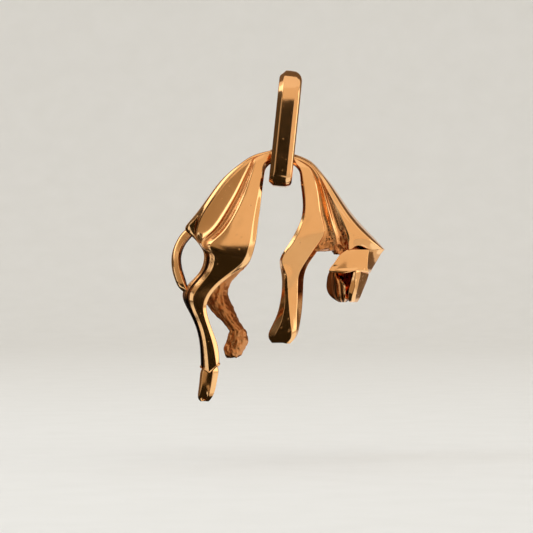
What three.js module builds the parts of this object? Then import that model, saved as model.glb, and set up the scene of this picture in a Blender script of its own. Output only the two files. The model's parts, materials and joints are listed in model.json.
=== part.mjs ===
// Panther charm: a cast gold panther, draped by its waist over the foot of a stirrup-shaped bail.
// Millimetres, +Z up, +X towards the head, -Y towards the near side (the side that is looked at).
// Origin: the flat at the inside top of the bail, where a chain rests.
import * as THREE from "three";

// Bail: a flat strap bent to a loop, round at the top and square at the foot
const BAIL_WIDTH = 2.2;
const BAIL_THICKNESS = 0.8;
const BAIL_INSIDE_DEPTH = 4.6;
const BAIL_INSIDE_HEIGHT = 10.1;
const BAIL_FOOT_RADIUS = 0.5;
const BAIL_EDGE = 0.22;
const BAIL_TILT = THREE.MathUtils.degToRad(5.9);
const CHAIN_SEAT_LENGTH = 0.7;

// Waist: a saddle that is round where it lies in the foot of the bail and shallow at both ends
const WAIST_RADIUS = 1.45;
const WAIST_END_HEIGHT = 1.36;
const WAIST_END_DEPTH = 2.3;
const WAIST_FORE_DROP = 0.35;
const WAIST_SIDES = 32;
const RUNNING_CLEARANCE = 0.1;
const SIDE_CLEARANCE = 0.12;
const WAIST_SECTIONS = [
  { along: -1, roundness: 0 }, { along: -0.85, roundness: 0.6 }, { along: -0.6, roundness: 1 },
  { along: 0.6, roundness: 1 }, { along: 0.85, roundness: 0.6 }, { along: 1, roundness: 0 },
];

// Cast shells
const WALL = 0.8;
const SPINE_WALL = 0.9;
const LIP = 0.4;
const LIP_DEPTH = 0.5;
const SOLDER_GAP = 0.12;
const PANEL_DISH = 0.06;
const PANEL_CROWN = 0.2;
const GROOVE_DEPTH = 0.3;
const BACK_CROWN = 0.25;
const NECK_CROWN = 0.15;

// Tail, paws and head
const TAIL_WIDTH = 0.74;
const TAIL_DEPTH = 0.9;
const TAIL_SIDES = 10;
const HIND_PAW_LENGTH = 2.9;
const FAR_PAW_LENGTH = 2.7;
const HEAD_LENGTH = 5.2;

// Sampling: steps between two stations of a guide, round a bend of the bail and across its rounded edge
const STEPS = 2;
const BAIL_BEND_STEPS = 8;
const BAIL_EDGE_STEPS = 2;

const MIDWAY = 0.5;
const NEAR = -1;
const FAR = 1;

// Places that follow from the sizes above
const BAIL_FOOT = WAIST_RADIUS + RUNNING_CLEARANCE;
const BAIL_INSIDE_TOP = BAIL_INSIDE_HEIGHT - BAIL_FOOT;
const BAIL_FOOT_REACH = (BAIL_FOOT + BAIL_THICKNESS) * Math.sin(BAIL_TILT);
const WAIST_HALF = (BAIL_WIDTH / 2) * Math.cos(BAIL_TILT) + BAIL_FOOT_REACH + SIDE_CLEARANCE;
const HIND_END = WAIST_RADIUS - WAIST_END_HEIGHT / 2;
const FORE_END = HIND_END - WAIST_FORE_DROP;

// Guides of the haunch and near hind leg: [x from the waist's hind end, z, depth from the mid-plane],
// one point for each station from the flank down to the ankle
const HAUNCH = {
  spine: [
    [-1.0, 1.0, 0], [-2.3, 0.3, 0], [-3.8, -0.85, 0], [-5.3, -2.4, 0], [-6.8, -4.45, 0], [-8.3, -6.5, 0],
    [-7.5, -7.4, 0.5], [-6.55, -8.3, 0.9], [-6.4, -9.45, 1.0], [-6.9, -10.9, 1.0], [-8.05, -12.3, 1.0],
    [-8.35, -13.65, 1.0], [-7.75, -15.05, 1.0], [-7.1, -16.6, 1.05], [-6.77, -18.35, 1.1],
    [-6.7, -20.25, 1.15],
  ],
  backRidge: [
    [-0.8, 0.9, 1.05], [-2.0, 0.3, 1.3], [-3.25, -0.75, 1.45], [-4.6, -2.25, 1.6], [-6.0, -4.2, 1.65],
    [-6.85, -5.85, 1.6], [-6.97, -7.0, 1.5], [-6.43, -8.35, 1.4], [-6.2, -9.45, 1.45], [-6.7, -10.9, 1.5],
    [-7.82, -12.3, 1.55], [-8.12, -13.6, 1.55], [-7.6, -15.0, 1.55], [-6.92, -16.55, 1.6],
    [-6.6, -18.35, 1.65],
    [-6.5, -20.35, 1.7],
  ],
  leafRidge: [
    [-0.82, 0.8, 1.2], [-1.65, -0.15, 1.7], [-2.3, -1.45, 2.05], [-3.15, -3.1, 2.35], [-4.2, -4.95, 2.5],
    [-5.4, -6.65, 2.45], [-6.15, -7.5, 2.2], [-6.1, -8.45, 1.9], [-5.93, -9.4, 1.95], [-6.35, -10.8, 1.95],
    [-7.45, -12.25, 2.0], [-7.85, -13.55, 2.0], [-7.45, -14.9, 2.0], [-6.73, -16.5, 2.05],
    [-6.37, -18.35, 2.1],
    [-6.22, -20.55, 2.15],
  ],
  thighRidge: [
    [-0.72, 0.7, 1.38], [-1.35, -0.35, 1.85], [-1.85, -1.7, 2.25], [-2.55, -3.45, 2.6], [-3.45, -5.25, 2.8],
    [-4.6, -6.95, 2.8], [-5.45, -7.85, 2.55], [-5.65, -8.65, 2.3], [-5.45, -9.5, 2.35], [-5.8, -10.8, 2.35],
    [-6.9, -12.3, 2.35], [-7.52, -13.55, 2.4], [-7.25, -14.9, 2.4], [-6.55, -16.5, 2.4],
    [-6.15, -18.35, 2.45],
    [-5.85, -20.75, 2.5],
  ],
  frontRidge: [
    [-0.25, 0.0, 1.75], [-0.55, -1.1, 2.1], [-0.77, -2.55, 2.35], [-1.05, -4.1, 2.55], [-1.3, -5.65, 2.65],
    [-1.48, -7.25, 2.7], [-1.6, -8.45, 2.65], [-1.9, -9.45, 2.55], [-2.85, -10.4, 2.5], [-4.4, -11.5, 2.45],
    [-5.7, -12.75, 2.4], [-6.27, -13.9, 2.4], [-6.3, -15.0, 2.4], [-5.85, -16.5, 2.4], [-5.33, -18.25, 2.4],
    [-5.03, -20.15, 2.4],
  ],
  edge: [
    [-0.1, -0.45, 1.6], [-0.33, -1.35, 1.75], [-0.5, -2.7, 1.9], [-0.67, -4.2, 2.05], [-0.87, -5.75, 2.1],
    [-1.1, -7.4, 2.15], [-1.3, -8.6, 2.1], [-1.7, -9.65, 2.0], [-2.6, -10.53, 1.95], [-4.2, -11.65, 1.9],
    [-5.43, -12.88, 1.9], [-5.97, -13.95, 1.9], [-5.97, -14.93, 1.9], [-5.5, -16.45, 1.9], [-4.9, -18.2, 1.9],
    [-4.75, -20.0, 1.9],
  ],
};
const HAUNCH_ANGLES = { spine: 90, backRidge: 50, leafRidge: 45, thighRidge: 40, frontRidge: -30, edge: -50 };

// How hollow the haunch is at each station, from the solid waist to the solid leg, and how its inside runs:
// angles on the waist's end, shares of the way from edge to spine where it is solid, and how far the lip
// turns in there
const HAUNCH_HOLLOW = [0, 0.3, 0.75, 1, 1, 1, 1, 0.8, 0.4, 0.1, 0, 0, 0, 0, 0, 0, 0];
const LINING_ANGLES = { lip: -64, middle: -77, back: -90 };
const LINING_SHARES = { lip: 0.2, middle: 0.5, back: 0.8 };
const SOLID_LIP = 0.5;

// Where the two inner columns of the thigh's panel run, as shares from ridge to ridge
const THIGH_PANEL = [0.35, 0.7];

// The far hind leg leaves the haunch after this station, and runs between two outlines of its own
const FAR_LEG_FROM = 8;
const FAR_LEG = {
  back: [[-6.0, -9.9, 1.0], [-6.2, -11.0, 1.0], [-6.5, -12.45, 1.0], [-6.4, -13.65, 1.0], [-5.6, -14.85, 1.0],
    [-4.6, -15.85, 1.0], [-3.8, -16.75, 1.0]],
  front: [[-2.4, -10.6, 1.9], [-3.5, -11.75, 1.9], [-3.9, -12.75, 1.9], [-3.85, -13.45, 1.9],
    [-3.4, -14.35, 1.9], [-2.9, -15.55, 1.9], [-2.1, -16.75, 1.9]],
};
const FAR_LEG_SHARES = {
  spine: 0, backRidge: 0.1, leafRidge: 0.22, thighRidge: 0.38, frontRidge: 0.86, edge: 1,
};
const FAR_LEG_DEPTHS = {
  spine: 1.0, backRidge: 1.45, leafRidge: 1.85, thighRidge: 2.2, frontRidge: 2.25, edge: 1.8,
};

// Guides of the shoulder and foreleg: x from the waist's fore end
const SHOULDER = {
  edge: [
    [0.2, -0.65, 1.75], [0.4, -1.75, 1.95], [0.55, -3.05, 2.1], [0.62, -4.35, 2.2], [0.45, -5.55, 2.25],
    [-0.05, -6.7, 2.25], [-0.75, -7.95, 2.2], [-1.45, -9.05, 2.1], [-1.7, -9.95, 2.0], [-1.53, -11.15, 1.95],
    [-1.5, -12.55, 1.95], [-1.67, -13.85, 1.95], [-2.0, -15.15, 1.95], [-2.55, -16.35, 1.95],
    [-2.85, -17.25, 1.9], [-2.5, -17.9, 1.8],
  ],
  bevel: [
    [0.3, -0.45, 1.9], [0.6, -1.65, 2.3], [0.77, -2.95, 2.5], [0.83, -4.3, 2.65], [0.7, -5.55, 2.75],
    [0.23, -6.8, 2.75], [-0.45, -8.05, 2.7], [-1.1, -9.15, 2.6], [-1.2, -10.15, 2.5], [-1.0, -11.25, 2.5],
    [-0.9, -12.55, 2.5], [-0.83, -13.85, 2.5], [-0.8, -15.15, 2.55], [-0.85, -16.35, 2.6],
    [-1.1, -17.3, 2.55], [-1.3, -17.95, 2.2],
  ],
  ridge: [
    [0.85, -0.1, 1.3], [1.55, -0.9, 1.75], [2.0, -2.15, 2.2], [2.25, -3.65, 2.55], [2.43, -5.05, 2.75],
    [2.73, -6.45, 2.8], [2.5, -7.5, 2.75], [1.7, -8.6, 2.7], [0.95, -9.75, 2.6], [0.25, -11.0, 2.6],
    [0.1, -12.45, 2.6], [0.07, -13.85, 2.6], [0.0, -15.15, 2.65], [-0.05, -16.35, 2.7], [-0.2, -17.3, 2.6],
    [-0.65, -17.95, 2.2],
  ],
  back: [
    [0.85, -0.15, 0.7], [1.55, -0.95, 1.0], [2.0, -2.2, 1.4], [2.25, -3.7, 1.75], [2.43, -5.1, 1.95],
    [2.7, -6.5, 2.0], [2.6, -7.65, 1.95], [2.05, -8.85, 1.9], [1.35, -9.85, 1.8], [0.83, -11.05, 1.8],
    [0.7, -12.45, 1.8], [0.62, -13.95, 1.8], [0.5, -15.15, 1.8], [0.3, -16.3, 1.85], [0.0, -17.25, 1.85],
    [-0.55, -17.85, 1.8],
  ],
};
const SHOULDER_ANGLES = { edge: -23, bevel: -6, ridge: 26 };
const SHOULDER_HOLLOW = [0, 0.4, 0.9, 1, 1, 1, 0.8, 0.4, 0.1, 0, 0, 0, 0, 0, 0, 0, 0];
const SHOULDER_INSIDE_ANGLES = { lip: -50, middle: -90 };
const SHOULDER_INSIDE_SHARE = 0.55;
const SHOULDER_PANEL = [0.4, 0.72];
const FORELEG_BACK = 1.0;

// Guides of the neck: the grooved chest side, the mantle and the nape, down to the seat of the head
const NECK = {
  groove: [[0.95, -0.08, 1.22], [1.75, -0.95, 1.65], [2.27, -2.15, 2.05], [2.54, -3.6, 2.25],
    [2.82, -4.95, 2.35], [3.16, -6.35, 2.35], [3.32, -7.55, 2.25], [3.4, -8.65, 2.2]],
  rib: [[1.0, -0.03, 1.14], [1.87, -0.93, 1.6], [2.46, -2.15, 2.1], [2.87, -3.55, 2.4], [3.2, -4.95, 2.5],
    [3.55, -6.35, 2.5], [3.88, -7.55, 2.45], [4.17, -8.65, 2.4]],
  channel: [[1.05, 0.02, 1.06], [1.95, -0.9, 1.5], [2.6, -2.15, 1.9], [3.1, -3.5, 2.1], [3.58, -4.9, 2.15],
    [4.1, -6.3, 2.1], [4.55, -7.5, 2.05], [4.8, -8.65, 2.05]],
  mantle: [[1.1, 0.08, 0.96], [2.02, -0.87, 1.42], [2.74, -2.13, 1.9], [3.45, -3.5, 2.2], [4.15, -4.85, 2.4],
    [4.7, -6.25, 2.45], [5.03, -7.45, 2.4], [5.15, -8.65, 2.35]],
  napeRidge: [[1.15, 0.22, 0.55], [2.17, -0.82, 0.85], [3.08, -2.2, 1.2], [4.12, -4.1, 1.4],
    [5.08, -5.6, 1.5], [6.1, -6.8, 1.5], [7.3, -7.78, 1.35], [8.45, -8.65, 0.9]],
  spine: [[1.2, 0.4, 0], [2.3, -0.6, 0], [3.3, -1.8, 0], [4.4, -3.35, 0], [5.45, -4.85, 0], [6.6, -6.2, 0],
    [7.8, -7.45, 0], [8.9, -8.65, 0]],
};
const NECK_SIDE_LOW = [[2.88, -7.55, 2.62], [3.05, -8.65, 2.4]];
const NECK_SIDE_ANGLE = 31;
const NECK_ANGLES = { groove: 36, rib: 41, channel: 46, mantle: 52, napeRidge: 66 };

// Where the inside of the neck starts on the waist's end, and how near it may come to the mid-plane
const NECK_INSIDE = { angle: 60, share: 0.3, spineShare: 0.2, leastDepth: 0.2 };

// Rings of the head, from its seat under the mantle to the nose: share of the length, then [x, depth]
// for throat, cheek, brow, eye, bridge, nose, far brow, temple, far cheek, far jaw and nape
const HEAD_RINGS = [
  { at: 0.0, ring: [[4.0, 0.6], [4.3, 2.2], [5.4, 2.45], [6.2, 2.4], [6.8, 2.25], [7.1, 2.1], [7.9, 1.5],
    [8.65, 0.5], [8.5, -0.6], [6.9, -1.6], [4.9, -1.2]] },
  { at: 0.17, ring: [[3.8, 0.8], [4.05, 2.3], [5.15, 2.75], [6.0, 2.75], [6.6, 2.6], [7.0, 2.35], [7.5, 1.6],
    [8.1, 0.5], [7.8, -0.8], [6.2, -1.7], [4.6, -1.2]] },
  { at: 0.38, ring: [[3.2, 0.9], [3.35, 2.2], [4.5, 2.95], [5.4, 3.05], [5.85, 3.0], [6.5, 2.85], [7.0, 2.3],
    [7.4, 0.9], [7.1, -0.6], [5.6, -1.6], [4.0, -1.2]] },
  { at: 0.46, ring: [[3.15, 1.0], [3.4, 2.0], [4.5, 2.3], [5.4, 2.45], [5.7, 2.95], [6.45, 2.9], [6.75, 2.4],
    [7.25, 0.9], [6.9, -0.5], [5.5, -1.5], [3.95, -1.1]] },
  { at: 0.54, ring: [[3.05, 1.0], [3.35, 2.1], [4.2, 2.45], [5.2, 2.5], [5.5, 2.95], [6.3, 2.95], [6.6, 2.3],
    [7.1, 0.9], [6.8, -0.5], [5.4, -1.4], [3.9, -1.0]] },
  { at: 0.66, ring: [[2.95, 1.0], [3.3, 2.1], [4.1, 2.65], [4.8, 2.75], [5.4, 2.95], [6.2, 3.0], [6.5, 2.3],
    [6.9, 1.0], [6.6, -0.4], [5.2, -1.3], [3.85, -0.9]] },
  { at: 0.79, ring: [[3.0, 1.0], [3.3, 2.0], [4.0, 2.65], [4.85, 2.75], [5.2, 2.9], [6.0, 3.0], [6.3, 2.3],
    [6.65, 1.0], [6.4, -0.3], [5.1, -1.1], [3.8, -0.7]] },
  { at: 0.92, ring: [[3.55, 1.0], [3.7, 1.8], [4.15, 2.3], [4.8, 2.5], [5.1, 2.75], [5.9, 2.9], [6.15, 2.2],
    [6.35, 1.1], [6.1, 0.1], [5.1, -0.5], [4.1, -0.2]] },
  { at: 1.0, ring: [[4.3, 1.1], [4.4, 1.5], [4.7, 1.9], [5.0, 2.1], [5.2, 2.3], [5.7, 2.4], [5.95, 1.9],
    [6.1, 1.2], [5.9, 0.6], [5.2, 0.3], [4.6, 0.5]] },
];

// Route of the tail, from under the rump round to the hock of the near leg
const TAIL_ROUTE = [[-8.02, -7.1, 0.0], [-8.3, -7.42, 0.0], [-8.7, -7.9, 0.1], [-9.05, -8.75, 0.35],
  [-9.2, -9.65, 0.65], [-9.08, -10.65, 0.95], [-8.85, -11.45, 1.15], [-8.55, -12.1, 1.25],
  [-8.4, -12.4, 1.3]];

// Paws: [share of the length, shift in x, share of the ankle's size]
const NEAR_PAW_RINGS = [[0.3, -0.15, 0.96], [0.65, -0.3, 0.86], [0.9, -0.5, 0.64], [1.0, -0.52, 0.36]];
const FAR_PAW_RINGS = [[0.3, -0.05, 1.3], [0.6, -0.3, 1.35], [0.85, -0.5, 1.1], [1.0, -0.6, 0.7]];

const POLISHED_GOLD = { color: 0xd69a5a, roughness: 0.12, metalness: 1 };
const CAST_GOLD = { color: 0xb8793c, roughness: 0.55, metalness: 1 };

// A guide's points in space, on one side of the mid-plane
function place(points, side) {
  return points.map(([x, z, depth]) => new THREE.Vector3(x, side * depth, z));
}

// A point on the outline of the waist's end, at an angle up from the near or far side,
// or a share of the way out to it from the middle of that end
function onWaist(middle, degrees, side, share = 1) {
  const angle = THREE.MathUtils.degToRad(degrees);
  const depth = share * (WAIST_END_DEPTH / 2) * Math.cos(angle);
  const rise = share * (WAIST_END_HEIGHT / 2) * Math.sin(angle);
  return new THREE.Vector3(0, side * depth, middle + rise);
}

// Guides that start on the waist's end and go on through their own points
function guidesFromWaist(table, angles, side, middle) {
  const guides = {};
  for (const [name, angle] of Object.entries(angles)) {
    guides[name] = [onWaist(middle, angle, side), ...place(table[name], side)];
  }
  return guides;
}

// A guide between two others, pushed out of the body by a lift that is nothing at the waist
function between(a, b, share, lift, side) {
  return a.map((point, i) => {
    const middle = point.clone().lerp(b[i], share);
    middle.y += i === 0 ? 0 : side * lift;
    return middle;
  });
}

// A point moved a set distance towards another, in the side view only
function towards(from, to, distance) {
  const step = new THREE.Vector3(to.x - from.x, 0, to.z - from.z);
  return from.clone().add(step.setLength(Math.min(distance, step.length() / 2)));
}

function smooth(points) {
  const curve = new THREE.CatmullRomCurve3(points, false, "centripetal");
  return curve.getPoints((points.length - 1) * STEPS);
}

// Triangles that close a ring of points, seen along the axis in which the ring is thinnest
function capTriangles(ring) {
  const size = new THREE.Box3().setFromPoints(ring).getSize(new THREE.Vector3());
  const acrossX = size.x <= size.z;
  const outline = ring.map((p) => (acrossX ? new THREE.Vector2(p.y, p.z) : new THREE.Vector2(p.x, p.y)));
  if (THREE.ShapeUtils.isClockWise(outline)) {
    const last = ring.length - 1;
    const turned = THREE.ShapeUtils.triangulateShape(outline.reverse(), []);
    return turned.map((t) => t.map((i) => last - i).reverse());
  }
  return THREE.ShapeUtils.triangulateShape(outline, []);
}

function signedVolume(points, triangles) {
  let sum = 0;
  for (const [a, b, c] of triangles) {
    sum += points[a].dot(points[b].clone().cross(points[c]));
  }
  return sum / 6;
}

// The sign by which a ring's cap has to turn to close the end of the skin
function ringArea(ring, triangles) {
  const area = new THREE.Vector3();
  for (const [a, b, c] of triangles) {
    const ab = ring[b].clone().sub(ring[a]);
    area.add(ab.cross(ring[c].clone().sub(ring[a])));
  }
  return area;
}

function loopArea(ring) {
  const area = new THREE.Vector3();
  ring.forEach((point, i) => area.add(point.clone().cross(ring[(i + 1) % ring.length])));
  return area;
}

// A closed body whose skin runs over rings of points and is capped at both ends
function loft(rings) {
  const count = rings[0].length;
  const points = rings.flat();
  let triangles = [];
  for (let r = 0; r + 1 < rings.length; r += 1) {
    for (let c = 0; c < count; c += 1) {
      const a = r * count + c;
      const b = r * count + ((c + 1) % count);
      const d = a + count;
      const e = b + count;
      const splitAE = points[a].distanceTo(points[e]) < points[b].distanceTo(points[d]);
      triangles.push(...(splitAE ? [[a, b, e], [a, e, d]] : [[a, b, d], [b, e, d]]));
    }
  }
  for (const end of [0, rings.length - 1]) {
    const ring = rings[end];
    const cap = capTriangles(ring);
    const along = ringArea(ring, cap).dot(loopArea(ring)) > 0;
    const flip = along === (end === 0);
    const first = end * count;
    triangles.push(...cap.map(([a, b, c]) => (flip ? [a, c, b] : [a, b, c]).map((i) => i + first)));
  }
  if (signedVolume(points, triangles) < 0) {
    triangles = triangles.map(([a, b, c]) => [a, c, b]);
  }
  const geometry = new THREE.BufferGeometry();
  geometry.setAttribute("position", new THREE.Float32BufferAttribute(points.flatMap((p) => p.toArray()), 3));
  geometry.setIndex(triangles.flat());
  return geometry;
}

// Rings that run across a set of guides
function ringsAcross(columns) {
  const smoothed = columns.map(smooth);
  return smoothed[0].map((_, row) => smoothed.map((column) => column[row]));
}

// Rings of a half that keeps to its own side of the mid-plane
function halfRings(columns, side) {
  const rings = ringsAcross(columns);
  rings.flat().forEach((point) => point.setY(side * Math.max(side * point.y, 0)));
  return rings;
}

function piece(name, geometry, finish) {
  const mesh = new THREE.Mesh(geometry, new THREE.MeshStandardMaterial(finish));
  mesh.name = name;
  return mesh;
}

// Waist: shallow end sections that swell to a round middle
function waistRings() {
  return WAIST_SECTIONS.map(({ along, roundness }) => {
    const middle = along < 0 ? HIND_END : FORE_END;
    return Array.from({ length: WAIST_SIDES }, (_, k) => {
      const degrees = (k / WAIST_SIDES) * 360;
      const angle = THREE.MathUtils.degToRad(degrees);
      const round = new THREE.Vector3(0, Math.cos(angle), Math.sin(angle)).multiplyScalar(WAIST_RADIUS);
      return onWaist(middle, degrees, FAR).lerp(round, roundness).setX(along * WAIST_HALF);
    });
  });
}

// Haunch with its hind leg: ridged outside, hollow inside, open along the belly
function haunchGuides(side) {
  const guides = guidesFromWaist(HAUNCH, HAUNCH_ANGLES, side, HIND_END);
  if (side === FAR) {
    const back = place(FAR_LEG.back, side);
    const front = place(FAR_LEG.front, side);
    for (const name of Object.keys(guides)) {
      const leg = back.map((point, i) => {
        const at = point.clone().lerp(front[i], FAR_LEG_SHARES[name]);
        return at.setY(side * FAR_LEG_DEPTHS[name]);
      });
      guides[name] = [...guides[name].slice(0, FAR_LEG_FROM + 1), ...leg];
    }
  }
  return guides;
}

function haunchLining(guides, side) {
  const lip = [];
  const middle = [];
  const back = [];
  guides.spine.forEach((spine, i) => {
    const edge = guides.edge[i];
    const hollow = HAUNCH_HOLLOW[i];
    const inside = guides.thighRidge[i].y - side * WALL;
    const openLip = towards(edge, spine, LIP).setY(edge.y - side * LIP_DEPTH);
    const openMiddle = edge.clone().lerp(spine, LINING_SHARES.middle).setY(inside);
    const openBack = towards(spine, edge, SPINE_WALL).setY(spine.y);
    const solid = (share) => edge.clone().lerp(spine, share).setY(spine.y);
    lip.push(solid(LINING_SHARES.lip).lerp(openLip, Math.max(hollow, SOLID_LIP)));
    middle.push(solid(LINING_SHARES.middle).lerp(openMiddle, hollow));
    back.push(solid(LINING_SHARES.back).lerp(openBack, hollow));
  });
  lip[0] = onWaist(HIND_END, LINING_ANGLES.lip, side);
  middle[0] = onWaist(HIND_END, LINING_ANGLES.middle, side);
  back[0] = onWaist(HIND_END, LINING_ANGLES.back, side);
  return [lip, middle, back];
}

function haunchColumns(side) {
  const g = haunchGuides(side);
  return [
    g.spine,
    between(g.spine, g.backRidge, MIDWAY, BACK_CROWN, side),
    g.backRidge,
    between(g.backRidge, g.leafRidge, MIDWAY, -PANEL_DISH, side),
    g.leafRidge,
    between(g.leafRidge, g.thighRidge, MIDWAY, -GROOVE_DEPTH, side),
    g.thighRidge,
    ...THIGH_PANEL.map((share) => between(g.thighRidge, g.frontRidge, share, PANEL_CROWN, side)),
    g.frontRidge,
    g.edge,
    ...haunchLining(g, side),
  ];
}

// Shoulder with its foreleg
function shoulderColumns(side) {
  const g = guidesFromWaist(SHOULDER, SHOULDER_ANGLES, side, FORE_END);
  g.back = [onWaist(FORE_END, 0, side, 0), ...place(SHOULDER.back, side)];
  const middle = [onWaist(FORE_END, SHOULDER_INSIDE_ANGLES.middle, side)];
  const lip = [onWaist(FORE_END, SHOULDER_INSIDE_ANGLES.lip, side)];
  for (let i = 1; i < g.edge.length; i += 1) {
    const hollow = SHOULDER_HOLLOW[i];
    const inside = g.bevel[i].y - side * WALL;
    const depth = THREE.MathUtils.lerp(side * FORELEG_BACK, inside, hollow);
    middle.push(g.edge[i].clone().lerp(g.back[i], SHOULDER_INSIDE_SHARE).setY(depth));
    lip.push(towards(g.edge[i], g.back[i], LIP).setY(g.edge[i].y - side * LIP_DEPTH));
  }
  return [
    g.edge,
    g.bevel,
    ...SHOULDER_PANEL.map((share) => between(g.bevel, g.ridge, share, PANEL_CROWN, side)),
    g.ridge,
    g.back,
    middle,
    lip,
  ];
}

// Neck: one hood over both sides, from the waist to the seat of the head
function neckColumns() {
  const sideOf = (side) => {
    const g = guidesFromWaist(NECK, NECK_ANGLES, side, FORE_END);
    const ridge = SHOULDER.ridge.slice(0, NECK.spine.length - NECK_SIDE_LOW.length);
    const chest = ridge.map(([x, z, depth]) => [x + SOLDER_GAP, z, depth]);
    g.side = [onWaist(FORE_END, NECK_SIDE_ANGLE, side), ...place([...chest, ...NECK_SIDE_LOW], side)];
    g.panel = between(g.mantle, g.napeRidge, MIDWAY, NECK_CROWN, side);
    return g;
  };
  const spine = [onWaist(FORE_END, 90, NEAR), ...place(NECK.spine, NEAR)];
  const near = sideOf(NEAR);
  const far = sideOf(FAR);
  const inner = (guide, side) => guide.map((p, i) => {
    const depth = Math.max(Math.abs(p.y) - WALL, NECK_INSIDE.leastDepth);
    if (i === 0) return onWaist(FORE_END, NECK_INSIDE.angle, side, NECK_INSIDE.share);
    return p.clone().setY(side * depth);
  });
  const innerSpine = spine.map((p, i) => {
    if (i === 0) return onWaist(FORE_END, 90, NEAR, NECK_INSIDE.spineShare);
    return towards(p, near.side[i], SPINE_WALL).setY(0);
  });
  return [
    near.side, near.groove, near.rib, near.channel, near.mantle, near.panel, near.napeRidge, spine,
    far.napeRidge, far.panel, far.mantle, far.channel, far.rib, far.groove, far.side,
    inner(far.side, FAR), inner(far.mantle, FAR), innerSpine,
    inner(near.mantle, NEAR), inner(near.side, NEAR),
  ];
}

// Head: rings stacked from its seat under the mantle down to the nose
function headRings() {
  const seat = NECK.spine.at(-1)[1];
  return HEAD_RINGS.map(({ at, ring }) => {
    return ring.map(([x, depth]) => new THREE.Vector3(x, NEAR * depth, seat - at * HEAD_LENGTH));
  });
}

// Tail: an oval bar along its route
function tailRings() {
  const route = smooth(place(TAIL_ROUTE, NEAR));
  return route.map((point, i) => {
    const ahead = route[Math.min(i + 1, route.length - 1)];
    const behind = route[Math.max(i - 1, 0)];
    const along = ahead.clone().sub(behind).setY(0).normalize();
    const across = new THREE.Vector3(along.z, 0, -along.x);
    return Array.from({ length: TAIL_SIDES }, (_, k) => {
      const angle = (k / TAIL_SIDES) * 2 * Math.PI;
      const at = point.clone().addScaledVector(across, (TAIL_WIDTH / 2) * Math.cos(angle));
      at.y += (TAIL_DEPTH / 2) * Math.sin(angle);
      return at;
    });
  });
}

// Paw: the ankle's outline carried down and drawn in to the toes
function pawRings(columns, length, shape) {
  const ankle = columns.map((column) => column.at(-1));
  const box = new THREE.Box3().setFromPoints(ankle);
  const centre = box.getCenter(new THREE.Vector3());
  const top = ankle.map((p) => p.clone().setZ(p.z - SOLDER_GAP));
  const rings = shape.map(([share, shift, size]) => {
    return ankle.map((p) => {
      const level = THREE.MathUtils.lerp(p.z - SOLDER_GAP, box.min.z - SOLDER_GAP, Math.min(1, share * 2));
      return new THREE.Vector3(
        centre.x + shift + (p.x - centre.x) * size,
        centre.y + (p.y - centre.y) * Math.min(size, 1),
        level - share * length,
      );
    });
  });
  return [top, ...rings];
}

// Bail: the strap's side view, drawn across (x) and up (y), then given its width
function bailGeometry() {
  const half = BAIL_INSIDE_DEPTH / 2;
  const loop = (path, grow, flat) => {
    const side = half + grow;
    const foot = -BAIL_FOOT - grow;
    const top = BAIL_INSIDE_TOP + grow;
    const corner = BAIL_FOOT_RADIUS + grow;
    const bend = side - flat / 2;
    path.moveTo(-side, foot + corner);
    path.absarc(-side + corner, foot + corner, corner, Math.PI, 1.5 * Math.PI, false);
    path.absarc(side - corner, foot + corner, corner, 1.5 * Math.PI, 2 * Math.PI, false);
    path.absarc(flat / 2, top - bend, bend, 0, Math.PI / 2, false);
    path.absarc(-flat / 2, top - bend, bend, Math.PI / 2, Math.PI, false);
    path.closePath();
    return path;
  };
  const shape = loop(new THREE.Shape(), BAIL_THICKNESS, CHAIN_SEAT_LENGTH);
  shape.holes.push(loop(new THREE.Path(), 0, CHAIN_SEAT_LENGTH));
  const geometry = new THREE.ExtrudeGeometry(shape, {
    depth: BAIL_WIDTH - 2 * BAIL_EDGE,
    bevelEnabled: true,
    bevelThickness: BAIL_EDGE,
    bevelSize: BAIL_EDGE,
    bevelOffset: -BAIL_EDGE,
    bevelSegments: BAIL_EDGE_STEPS,
    curveSegments: BAIL_BEND_STEPS,
  });
  geometry.translate(0, 0, BAIL_EDGE - BAIL_WIDTH / 2);
  const acrossUpWide = new THREE.Matrix4().makeBasis(
    new THREE.Vector3(0, 1, 0),
    new THREE.Vector3(0, 0, 1),
    new THREE.Vector3(1, 0, 0),
  );
  return geometry.applyMatrix4(acrossUpWide);
}

const nearHaunch = haunchColumns(NEAR);
const farHaunch = haunchColumns(FAR);

const hind = new THREE.Group();
hind.position.x = -WAIST_HALF;
hind.add(
  piece("near_haunch", loft(halfRings(nearHaunch, NEAR)), POLISHED_GOLD),
  piece("far_haunch", loft(halfRings(farHaunch, FAR)), CAST_GOLD),
  piece("near_hind_paw", loft(pawRings(nearHaunch, HIND_PAW_LENGTH, NEAR_PAW_RINGS)), POLISHED_GOLD),
  piece("far_hind_paw", loft(pawRings(farHaunch, FAR_PAW_LENGTH, FAR_PAW_RINGS)), CAST_GOLD),
  piece("tail", loft(tailRings()), POLISHED_GOLD),
);

const fore = new THREE.Group();
fore.position.x = WAIST_HALF;
fore.add(
  piece("near_shoulder", loft(halfRings(shoulderColumns(NEAR), NEAR)), POLISHED_GOLD),
  piece("far_shoulder", loft(halfRings(shoulderColumns(FAR), FAR)), POLISHED_GOLD),
  piece("neck_mantle", loft(ringsAcross(neckColumns())), POLISHED_GOLD),
  piece("head", loft(headRings()), POLISHED_GOLD),
);

const panther = new THREE.Group();
panther.add(piece("waist_saddle", loft(waistRings()), POLISHED_GOLD), hind, fore);

const bail = new THREE.Group();
bail.rotation.y = BAIL_TILT;
bail.add(piece("bail_loop", bailGeometry(), POLISHED_GOLD));

const charm = new THREE.Group();
charm.add(panther, bail);
for (const group of [panther, bail]) {
  group.position.set(-BAIL_INSIDE_TOP * Math.sin(BAIL_TILT), 0, -BAIL_INSIDE_TOP * Math.cos(BAIL_TILT));
}

export default charm;
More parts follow.
